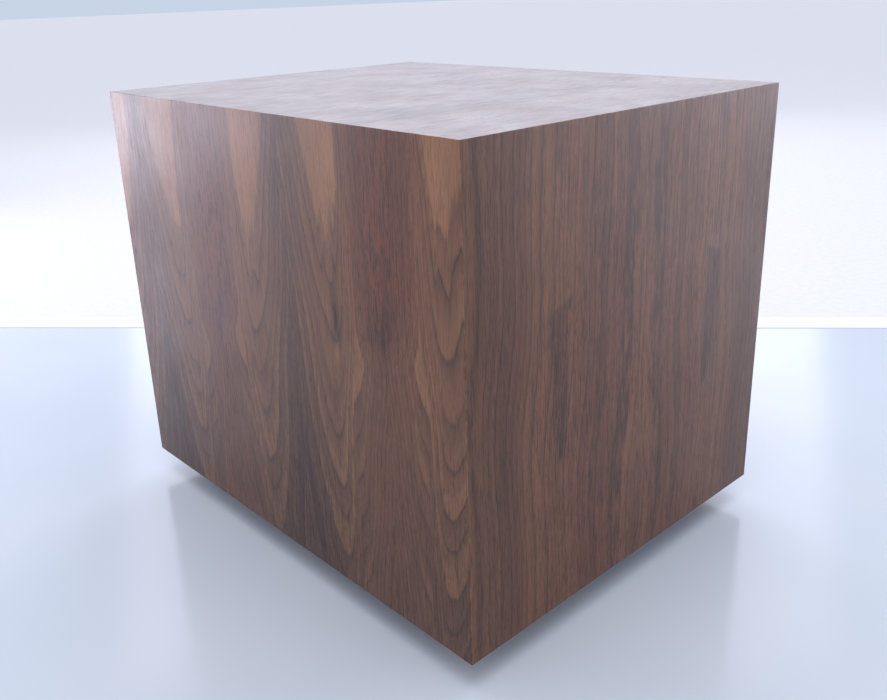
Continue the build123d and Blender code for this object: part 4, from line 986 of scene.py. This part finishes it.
def braided_copper():
    """Tinsel lead: tinned copper strands plaited over a thread core."""
    finish = Finish("copper_tinsel_braid", Metallic=1.0)
    turn, run = finish.read("turn"), finish.read("run")
    one, other = ((turn * (3.0 * way) + run * (1 / (2.6 * MM))).waves(1.0) for way in (1, -1))
    over = one.most(other)
    age = finish.noise(6)
    colour = finish.mix(over, "5d2c17", "cf8654")
    colour = finish.mix(age.spread(0.45, 0.7, 0, 0.5), colour, "b9a894")
    return finish.done(colour, age.spread(0.3, 0.7, 0.28, 0.45), over, 0.12)


def polyester_fibre():
    """Polyester wadding: a pale lofted felt of crimped fibres with soft hollows between the tufts."""
    finish = Finish("polyester_wadding", IOR=1.4, Sheen_Weight=0.5, Sheen_Roughness=0.5)
    fibres = finish.noise(1.0, 6.0, 0.75, 3.0)
    colour = finish.tones(fibres, "b9b8b6", "ecebe8")
    colour = finish.mix(finish.noise(24).spread(0.3, 0.5, 0.35, 0), colour, "96959a")
    return finish.done(colour, fibres.spread(0.3, 0.7, 0.85, 0.97), fibres, 0.9)


class SUBWOOFER_OT_boards(bpy.types.Operator):
    """Dress the fibreboard panels, the braces, the baffle and the beech cleats"""
    bl_idname = "subwoofer.boards"
    bl_label = "Boards and cleats"

    def execute(self, context):
        dress([name for name in NODES if name.endswith("_panel") or name.startswith("window_brace")],
              sanded_fibreboard())
        dress(["bottom_baffle"], lacquered_board())
        dress(["corner_cleats"], planed_beech())
        return {"FINISHED"}


class SUBWOOFER_OT_feet(bpy.types.Operator):
    """Dress the feet, their pads, the screws and the threaded inserts"""
    bl_idname = "subwoofer.feet"
    bl_label = "Feet and fixings"

    def execute(self, context):
        corners = [f"foot_{end}_{side}" for end in ("front", "rear") for side in ("left", "right")]
        dress(corners, satin_black_wood())
        dress(["foot_pads"], moulded_rubber())
        dress(["foot_screws", "driver_screws", "plate_screws", "tub_screws"], black_oxide_steel())
        dress(["threaded_inserts"], turned_metal("brass_turned", "a9802f", "cfa955", 0.7, 0.24))
        return {"FINISHED"}


class SUBWOOFER_OT_driver_frame(bpy.types.Operator):
    """Dress the driver's basket, gasket, magnet, terminals and wires"""
    bl_idname = "subwoofer.driver_frame"
    bl_label = "Driver frame and magnet"

    def execute(self, context):
        dress(["driver_basket"], powder_coated_casting())
        dress(["driver_gasket", "amp_gasket"], closed_cell_foam())
        dress(["magnet_top_plate", "magnet_yoke"],
              turned_metal("steel_turned_zinc", "a9aeb6", "c9cbcb", 1.1, 0.26))
        dress(["magnet_ring"], sintered_ferrite())
        dress(["driver_terminals"],
              moulded_plastic("terminal_phenolic_black", "17161a", "2a282b", (0.34, 0.5)))
        dress(["driver_wires"], sheathed_wire())
        return {"FINISHED"}


class SUBWOOFER_OT_cone(bpy.types.Operator):
    """Dress the cone, the dust cap and the voice coil"""
    bl_idname = "subwoofer.cone"
    bl_label = "Cone and coil"

    def execute(self, context):
        dress(["cone", "dust_cap"], coated_pulp())
        dress(["voice_coil"], wound_coil())
        return {"FINISHED"}


class SUBWOOFER_OT_amplifier(bpy.types.Operator):
    """Dress the amplifier's plate, tub, board, capacitors and transformer"""
    bl_idname = "subwoofer.amplifier"
    bl_label = "Amplifier"

    def execute(self, context):
        dress(["amp_plate"], printed_anodised_plate())
        # extruded aluminium, black anodised: drawn lines along the fins and a dull, even sheen
        dress(["heat_sink"], two_tone(
            "aluminium_extruded_black_anodised", "1b1b1e", "2b2b2f", (70, 70, 4), (0.34, 0.46),
            (0.8, 0.8, 30), 0.03, IOR=1.45))
        dress(["amp_tub", "transformer_clamp", "pot_bodies", "level_shaft", "crossover_shaft"],
              zinc_plated_steel())
        dress(["amp_board"], etched_board())
        dress(["capacitors"], sleeved_cans())
        dress(["transformer"], taped_winding())
        return {"FINISHED"}


class SUBWOOFER_OT_controls(bpy.types.Operator):
    """Dress the knobs, switches, sockets, inlet, fuse drawer and status light"""
    bl_idname = "subwoofer.controls"
    bl_label = "Controls and sockets"

    def execute(self, context):
        dress(["level_knob", "crossover_knob"], knob_plastic())
        dress(["toggle_switch_body", "inlet_pins", "line_sockets", "phase_toggle"], nickel_plate())
        dress(["rocker_frame", "mains_inlet", "fuse_drawer"],
              moulded_plastic("switch_plastic_black", "151517", "242427", (0.4, 0.54)))
        dress(["mains_rocker"], moulded_plastic("rocker_plastic_gloss_black", "101012", "1b1b1e", (0.2, 0.3)))
        dress(["status_light"], milky_lens())
        return {"FINISHED"}


# ---- soft parts ----
def flexing_sector(name, profile, centre, angle_low, angle_high, steps, material):
    """One sector of a flexible ring: a closed profile of (radius, height) points turned about the driver's
    axis."""
    angles = np.linspace(angle_low, angle_high, steps + 1)
    radius, height = np.array(profile, float).T
    x = centre.x + radius[None, :] * np.cos(angles)[:, None]
    y = centre.y + radius[None, :] * np.sin(angles)[:, None]
    z = np.broadcast_to(height, x.shape)
    n = len(radius)
    faces = grid_faces(steps + 1, n, round_columns=True)[:, ::-1].tolist()
    half = n // 2
    strip = [(i, i + 1, n - 2 - i, n - 1 - i) for i in range(half - 1)]
    faces += [list(quad)[::-1] for quad in strip]
    faces += [[steps * n + i for i in quad] for quad in strip]
    piece = make_piece(name, np.stack([x, y, z], -1), faces, material, None)
    piece.data.set_sharp_from_angle(angle=math.radians(40))
    return piece


def thick_line(line, thickness):
    """The closed outline of a wall of even thickness along a line of (radius, height) points."""
    line = np.array(line, float)
    ahead = np.gradient(line, axis=0)
    normal = np.stack([-ahead[:, 1], ahead[:, 0]], 1)
    normal /= np.linalg.norm(normal, axis=1)[:, None]
    return np.concatenate([line + normal * thickness / 2, (line - normal * thickness / 2)[::-1]])


def roll(middle_radius, level, radius, side, count):
    """Half a circle from the outer end to the inner end, bulging up for side 1 and down for side -1."""
    turn = np.linspace(0, math.pi, count)
    return [(middle_radius + radius * math.cos(a), level + side * radius * math.sin(a)) for a in turn]


def flexing_ring(node, profile, level, outer, inner, sectors, steps, material):
    """A flexible ring made in sectors, which reaches from the cabinet at the outer radius to the cone at the
    inner one."""
    low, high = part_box(node)
    centre = (low + high) / 2
    at = Vector((centre.x, centre.y, level))
    half = math.pi / sectors
    for i in range(sectors):
        turn = 2 * math.pi * (i + 0.5) / sectors
        piece = flexing_sector(f"{node}_{i:02d}", profile, centre, turn - half, turn + half, steps, material)
        out = Vector((math.cos(turn), math.sin(turn), 0))
        at + out * outer
        at + out * inner
        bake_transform(piece)
        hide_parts(node)


class SUBWOOFER_OT_surround(bpy.types.Operator):
    """Make the rubber half-roll surround, in sectors between the basket and the cone"""
    bl_idname = "subwoofer.surround"
    bl_label = "Surround"

    def execute(self, context):
        settings = context.scene.subwoofer_driver
        low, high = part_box("surround")
        outer = (high.x - low.x) / 2
        level = high.z - settings.rubber_thickness / 2
        bulge = level - settings.rubber_thickness / 2 - low.z
        middle = outer - settings.lip_width - bulge
        inner = middle - bulge
        line = [(outer - settings.lip_width * t, level) for t in np.linspace(0, 0.9, 5)]
        line += roll(middle, level, bulge, -1, 37)
        line += [(inner - settings.lip_width * t, level) for t in np.linspace(0.1, 1, 5)]
        profile = thick_line(line, settings.rubber_thickness)
        flexing_ring("surround", profile, level, outer=middle + bulge, inner=inner,
                     sectors=settings.surround_sectors, steps=8, material=moulded_rubber())
        return {"FINISHED"}


class SUBWOOFER_OT_spider(bpy.types.Operator):
    """Make the corrugated cloth spider, in sectors between the basket and the coil"""
    bl_idname = "subwoofer.spider"
    bl_label = "Spider"

    def execute(self, context):
        settings = context.scene.subwoofer_driver
        low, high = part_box("spider")
        outer = (high.x - low.x) / 2
        coil_low, coil_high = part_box("voice_coil")
        bore = (coil_high.x - coil_low.x) / 2
        radius = (outer - settings.spider_lip - bore) / (2 * settings.spider_rolls)
        level = (low.z + high.z) / 2
        line = [(outer - settings.spider_lip * t, level) for t in np.linspace(0, 0.9, 5)]
        for i in range(settings.spider_rolls):
            middle = outer - settings.spider_lip - (2 * i + 1) * radius
            line += roll(middle, level, radius, -1 if i % 2 == 0 else 1, 13)[0 if i == 0 else 1:]
        profile = thick_line(line, settings.cloth_thickness)
        flexing_ring("spider", profile, level, outer=outer - settings.spider_lip, inner=bore,
                     sectors=settings.spider_sectors, steps=6, material=woven_spider_cloth())
        return {"FINISHED"}


def smooth_run(points, per_span):
    """A line that starts and ends at the outer points and rounds every other point with a parabola."""
    points = np.array(points, float)
    middles = (points[1:-2] + points[2:-1]) / 2
    starts = np.vstack([points[:1], middles])
    ends = np.vstack([middles, points[-1:]])
    s = np.linspace(0, 1, per_span + 1)[:, None]
    spans = [(1 - s) ** 2 * a + 2 * s * (1 - s) * b + s ** 2 * c
             for a, b, c in zip(starts, points[1:-1], ends)]
    return np.vstack([spans[0]] + [span[1:] for span in spans[1:]])


def tube(line, radius, sides):
    """A closed tube along a line in a plane of constant x, with its turn and run as attributes."""
    ahead = np.gradient(line, axis=0)
    ahead /= np.linalg.norm(ahead, axis=1)[:, None]
    across = np.array([1.0, 0.0, 0.0])
    up = np.cross(ahead, across)
    turn = np.linspace(0, 2 * math.pi, sides, endpoint=False)
    ring = np.cos(turn)[None, :, None] * across + np.sin(turn)[None, :, None] * up[:, None, :]
    points = line[:, None, :] + radius * ring
    n = len(line)
    faces = grid_faces(n, sides, round_columns=True)[:, ::-1].tolist()
    faces += [list(range(sides)), [(n - 1) * sides + i for i in range(sides)][::-1]]
    run = np.concatenate([[0], np.cumsum(np.linalg.norm(np.diff(line, axis=0), axis=1))])
    attributes = {"turn": np.broadcast_to(turn / (2 * math.pi), (n, sides)),
                  "run": np.broadcast_to(run[:, None], (n, sides))}
    return points, faces, attributes


# a lead's way, in millimetres back from the terminal block and up from where it leaves it
LEAD_ROUTE = ((0, 0), (-14, 0), (-32, 7), (-52, 5.9), (-60, -5.1))
LEAD_DROP = 6.2 * MM        # from the top of the leads' arc down to where they leave the block


class SUBWOOFER_OT_leads(bpy.types.Operator):
    """Make the two braided leads that bend between the terminals and the cone"""
    bl_idname = "subwoofer.leads"
    bl_label = "Tinsel leads"

    def execute(self, context):
        settings = context.scene.subwoofer_driver
        low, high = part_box("tinsel_leads")
        r = settings.lead_radius
        material = braided_copper()
        start_z = high.z - r - LEAD_DROP
        for side, x in (("left", low.x + r), ("right", high.x - r)):
            line = smooth_run([(x, high.y + dy * MM, start_z + dz * MM) for dy, dz in LEAD_ROUTE], 14)
            points, faces, attributes = tube(line, r, 14)
            piece = make_piece(f"tinsel_lead_{side}", points, faces, material, None, attributes)
            piece.data.set_sharp_from_angle(angle=math.radians(50))
            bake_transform(piece)
            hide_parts("tinsel_leads")
        return {"FINISHED"}


QUILT_POINTS = 81           # along each side of a quilt
QUILT_BORDER = 0.13         # how far in, as a share of the side, the face rises from the border
# depth of the bell at a staple, and its width as a share of the side
STAPLE_PULL, STAPLE_WIDTH = 0.42, 0.055


class SUBWOOFER_OT_wadding(bpy.types.Operator):
    """Make the two quilts of wadding on the side walls"""
    bl_idname = "subwoofer.wadding"
    bl_label = "Wadding"

    def execute(self, context):
        low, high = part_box("wadding")
        depth = context.scene.subwoofer_driver.wadding_thickness
        material = polyester_fibre()
        for name, wall, inward in (("wadding_left", low.x, 1), ("wadding_right", high.x, -1)):
            self.quilt(name, wall, inward, low, high, depth, material)
        return {"FINISHED"}

    def quilt(self, name, wall, inward, low, high, depth, material):
        """A batt stapled to a wall. Its face stands up from its border as 1 - (1 - d) ** 3, where d is the
        share of the way in from the border, is drawn down by a bell at each staple, and is lumpy with slow
        waves."""
        rows = columns = QUILT_POINTS
        u, v = np.meshgrid(np.linspace(0, 1, columns), np.linspace(0, 1, rows))
        wave = 0.004 * np.sin(23 * v + 2 * wall) * (1 - v)
        inset_y = 0.006 * np.sin(math.pi * v) ** 2 + 0.0015 * (1 + np.sin(31 * v))
        inset_z = 0.005 * np.sin(math.pi * u) ** 2 + 0.0015 * (1 + np.sin(27 * u))
        y = low.y + inset_y + u * (high.y - low.y - 2 * inset_y)
        z = low.z + inset_z + v * (high.z - low.z - 2 * inset_z)
        d = np.clip(np.minimum(np.minimum(u, 1 - u), np.minimum(v, 1 - v)) / QUILT_BORDER, 0, 1)
        loft = 1 - (1 - d) ** 3
        lumps = 0.05 * (np.sin(19 * u + 3 * v + 9 * wall) + np.sin(16 * v - 5 * u) + np.sin(41 * u * v + 2))
        for staple_u in (0.25, 0.5, 0.75):
            for staple_v in (0.2, 0.5, 0.8):
                off = np.hypot(u - staple_u, v - staple_v)
                lumps = lumps - STAPLE_PULL * hump(off, STAPLE_WIDTH)
        rise = depth * (0.14 + 0.76 * loft * np.clip(1 + lumps, 0, 1.12)) + wave * loft * 0.4
        front = np.stack([wall + inward * np.clip(rise, 0, depth), y, z], -1)
        back = np.stack([np.full_like(y, wall), y, z], -1)
        faces = grid_faces(rows, columns)
        flip = inward < 0
        total = rows * columns
        ahead, behind = (faces[:, ::-1], faces) if flip else (faces, faces[:, ::-1])
        skins = ahead.tolist() + (total + behind).tolist()
        border = [*range(columns), *((i * columns + columns - 1) for i in range(1, rows)),
                  *((rows - 1) * columns + j for j in range(columns - 2, -1, -1)),
                  *(i * columns for i in range(rows - 2, 0, -1))]
        n = len(border)
        for k in range(n):
            a, b = border[k], border[(k + 1) % n]
            quad = [b, a, total + a, total + b]
            skins.append(quad[::-1] if flip else quad)
        points = np.concatenate([front.reshape(-1, 3), back.reshape(-1, 3)])
        piece = make_piece(name, points, skins, material, "cabinet")
        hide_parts("wadding")


# ---- studio ----
# name: place, width and height, setting that holds its power, colour; metres
PANELS = {
    "panel_overhead": ((0.3, -0.2, 2.6), (2.4, 2.4), "key_light", "fffaf5"),
    "panel_behind": ((-1.9, 1.9, 1.55), (3.2, 1.7), "back_light", "eeecfb"),
    "panel_left": ((-1.95, -0.72, 0.36), (0.8, 0.6), "side_light", "eeeaff"),
    "panel_right": ((2.4, 4.0, 0.7), (2.4, 1.6), "far_light", "eeecfb"),
}
FLOOR_REACH = 30.0
JOINT_WIDTH = 6 * MM
STRIP_WIDTH = 55 * MM
CAMERA_PLACE = (1.6494, -1.4764, 1.2231)    # from the middle of the cabinet's foot, in cabinet heights
CAMERA_DOWN, CAMERA_TURN, CAMERA_ROLL = 19.41, 47.23, -1.725    # degrees
CAMERA_SHIFT = (-0.0050, -0.0478)


class SUBWOOFER_OT_studio(bpy.types.Operator):
    """Set the floor, the lights and the camera"""
    bl_idname = "subwoofer.studio"
    bl_label = "Pale studio"

    def execute(self, context):
        settings = context.scene.subwoofer_studio
        self.lay_floor(settings)
        self.hang_lights(settings)
        self.place_camera(settings)
        return {"FINISHED"}

    def lay_floor(self, settings):
        """A glossy painted floor. Past a line behind the object it is matt and glows, as a pale wall would,
        and a dark joint and a white strip run along the line."""
        finish = Finish("painted_floor", IOR=1.5, Emission_Color=linear("f0f0f8"))
        x, y, _ = finish.axes()
        reach = x * -math.sin(settings.edge_angle) + y * math.cos(settings.edge_angle)
        edge, glow = settings.edge_distance, settings.glow
        far = reach.spread(edge, edge + 2 * MM)
        strip = reach.band(edge + JOINT_WIDTH, edge + STRIP_WIDTH, 1 * MM)
        joint = reach.band(edge, edge + JOINT_WIDTH, 1 * MM)
        near = finish.tones(finish.noise(420, 2.0), settings.floor, "e9eef7")
        colour = finish.mix(far, near, finish.mix(joint, settings.wall, "9aa3bd"))
        plaster = finish.noise(14, 4.0).spread(0.3, 0.7, 0.96 * glow, 1.04 * glow)
        shine = far * plaster + strip * 0.14 - joint * (0.5 * glow)
        finish.drive(Base_Color=colour, Roughness=far.spread(0, 1, 0.16, 0.7), Emission_Strength=shine)
        points = [(x * FLOOR_REACH, y * FLOOR_REACH, 0) for x, y in ((-1, -1), (1, -1), (1, 1), (-1, 1))]
        make_piece("studio_floor", points, [(0, 1, 2, 3)], finish.material, None, smooth=False)

    def hang_lights(self, settings):
        """Four soft panels, overhead, behind, at the left and beyond the right side, in a pale room that is
        brighter at its horizon. The panels themselves do not show."""
        world = bpy.data.worlds.new("pale_room")
        world.use_nodes = True
        tree = world.node_tree
        background = tree.nodes["Background"]
        background.inputs["Color"].default_value = linear("d8e6fa")
        sight = put(tree, "ShaderNodeTexCoord").outputs["Generated"]
        way = put(tree, "ShaderNodeSeparateXYZ", {"Vector": sight})
        pale = Field(tree, way.outputs["Z"]).spread(0.0, 0.15, 1.35 * settings.sky, settings.sky)
        tree.links.new(pale.socket, background.inputs["Strength"])
        bpy.context.scene.world = world
        middle = Vector((0, (CABINET_LOW.y + CABINET_HIGH.y) / 2, CABINET_LOW.z + CABINET_HEIGHT / 2))
        for name, (place, (wide, tall), power, colour) in PANELS.items():
            light = bpy.data.lights.new(name, "AREA")
            light.shape = "RECTANGLE"
            light.size, light.size_y = wide, tall
            light.energy = getattr(settings, power)
            light.color = linear(colour)[:3]
            lamp = bpy.data.objects.new(name, light)
            lamp.location = place
            lamp.visible_camera = False
            lamp.rotation_euler = (middle - Vector(place)).to_track_quat("-Z", "Y").to_euler()
            bpy.context.scene.collection.objects.link(lamp)

    def place_camera(self, settings):
        """The camera stands off the near corner, a little above the cabinet, and looks down at it."""
        camera = bpy.data.cameras.new("camera")
        camera.sensor_width = 36.0
        camera.lens = settings.lens
        camera.shift_x, camera.shift_y = CAMERA_SHIFT
        camera.clip_start, camera.clip_end = 0.01, 100.0
        seat = bpy.data.objects.new("camera", camera)
        foot = Vector((0, (CABINET_LOW.y + CABINET_HIGH.y) / 2, CABINET_LOW.z))
        seat.location = foot + CABINET_HEIGHT * Vector(CAMERA_PLACE)
        aim = Euler((math.radians(90 - CAMERA_DOWN), 0, math.radians(CAMERA_TURN))).to_matrix()
        seat.rotation_euler = (aim @ Matrix.Rotation(math.radians(CAMERA_ROLL), 3, "Z")).to_euler()
        bpy.context.scene.collection.objects.link(seat)
        bpy.context.scene.camera = seat
        bpy.context.scene.view_settings.view_transform = "Standard"


class SUBWOOFER_PT_finishes(bpy.types.Panel):
    """The subwoofer's finishes, piece by piece"""
    bl_label = "Subwoofer"
    bl_idname = "SUBWOOFER_PT_finishes"
    bl_space_type = "VIEW_3D"
    bl_region_type = "UI"
    bl_category = "Subwoofer"

    def draw(self, context):
        scene = context.scene
        for group in (scene.subwoofer_veneer, scene.subwoofer_driver, scene.subwoofer_studio):
            box = self.layout.box()
            for key in group.bl_rna.properties.keys():
                if key not in ("rna_type", "name"):
                    box.prop(group, key)
        for operator in OPERATORS:
            self.layout.operator(operator.bl_idname)


OPERATORS = (
    SUBWOOFER_OT_veneers, SUBWOOFER_OT_boards, SUBWOOFER_OT_feet, SUBWOOFER_OT_driver_frame,
    SUBWOOFER_OT_cone, SUBWOOFER_OT_amplifier, SUBWOOFER_OT_controls, SUBWOOFER_OT_surround,
    SUBWOOFER_OT_spider, SUBWOOFER_OT_leads, SUBWOOFER_OT_wadding, SUBWOOFER_OT_studio)
CLASSES = (VeneerSettings, DriverSettings, StudioSettings, *OPERATORS, SUBWOOFER_PT_finishes)


def register():
    for cls in CLASSES:
        bpy.utils.register_class(cls)
    bpy.types.Scene.subwoofer_veneer = bpy.props.PointerProperty(type=VeneerSettings)
    bpy.types.Scene.subwoofer_driver = bpy.props.PointerProperty(type=DriverSettings)
    bpy.types.Scene.subwoofer_studio = bpy.props.PointerProperty(type=StudioSettings)


def unregister():
    del bpy.types.Scene.subwoofer_studio
    del bpy.types.Scene.subwoofer_driver
    del bpy.types.Scene.subwoofer_veneer
    for cls in reversed(CLASSES):
        bpy.utils.unregister_class(cls)


def main():
    register()
    for step in (bpy.ops.subwoofer.veneers, bpy.ops.subwoofer.boards, bpy.ops.subwoofer.feet,
                 bpy.ops.subwoofer.driver_frame, bpy.ops.subwoofer.cone, bpy.ops.subwoofer.amplifier,
                 bpy.ops.subwoofer.controls, bpy.ops.subwoofer.surround, bpy.ops.subwoofer.spider,
                 bpy.ops.subwoofer.leads, bpy.ops.subwoofer.wadding, bpy.ops.subwoofer.studio):
        step()


if __name__ == "__main__":
    main()
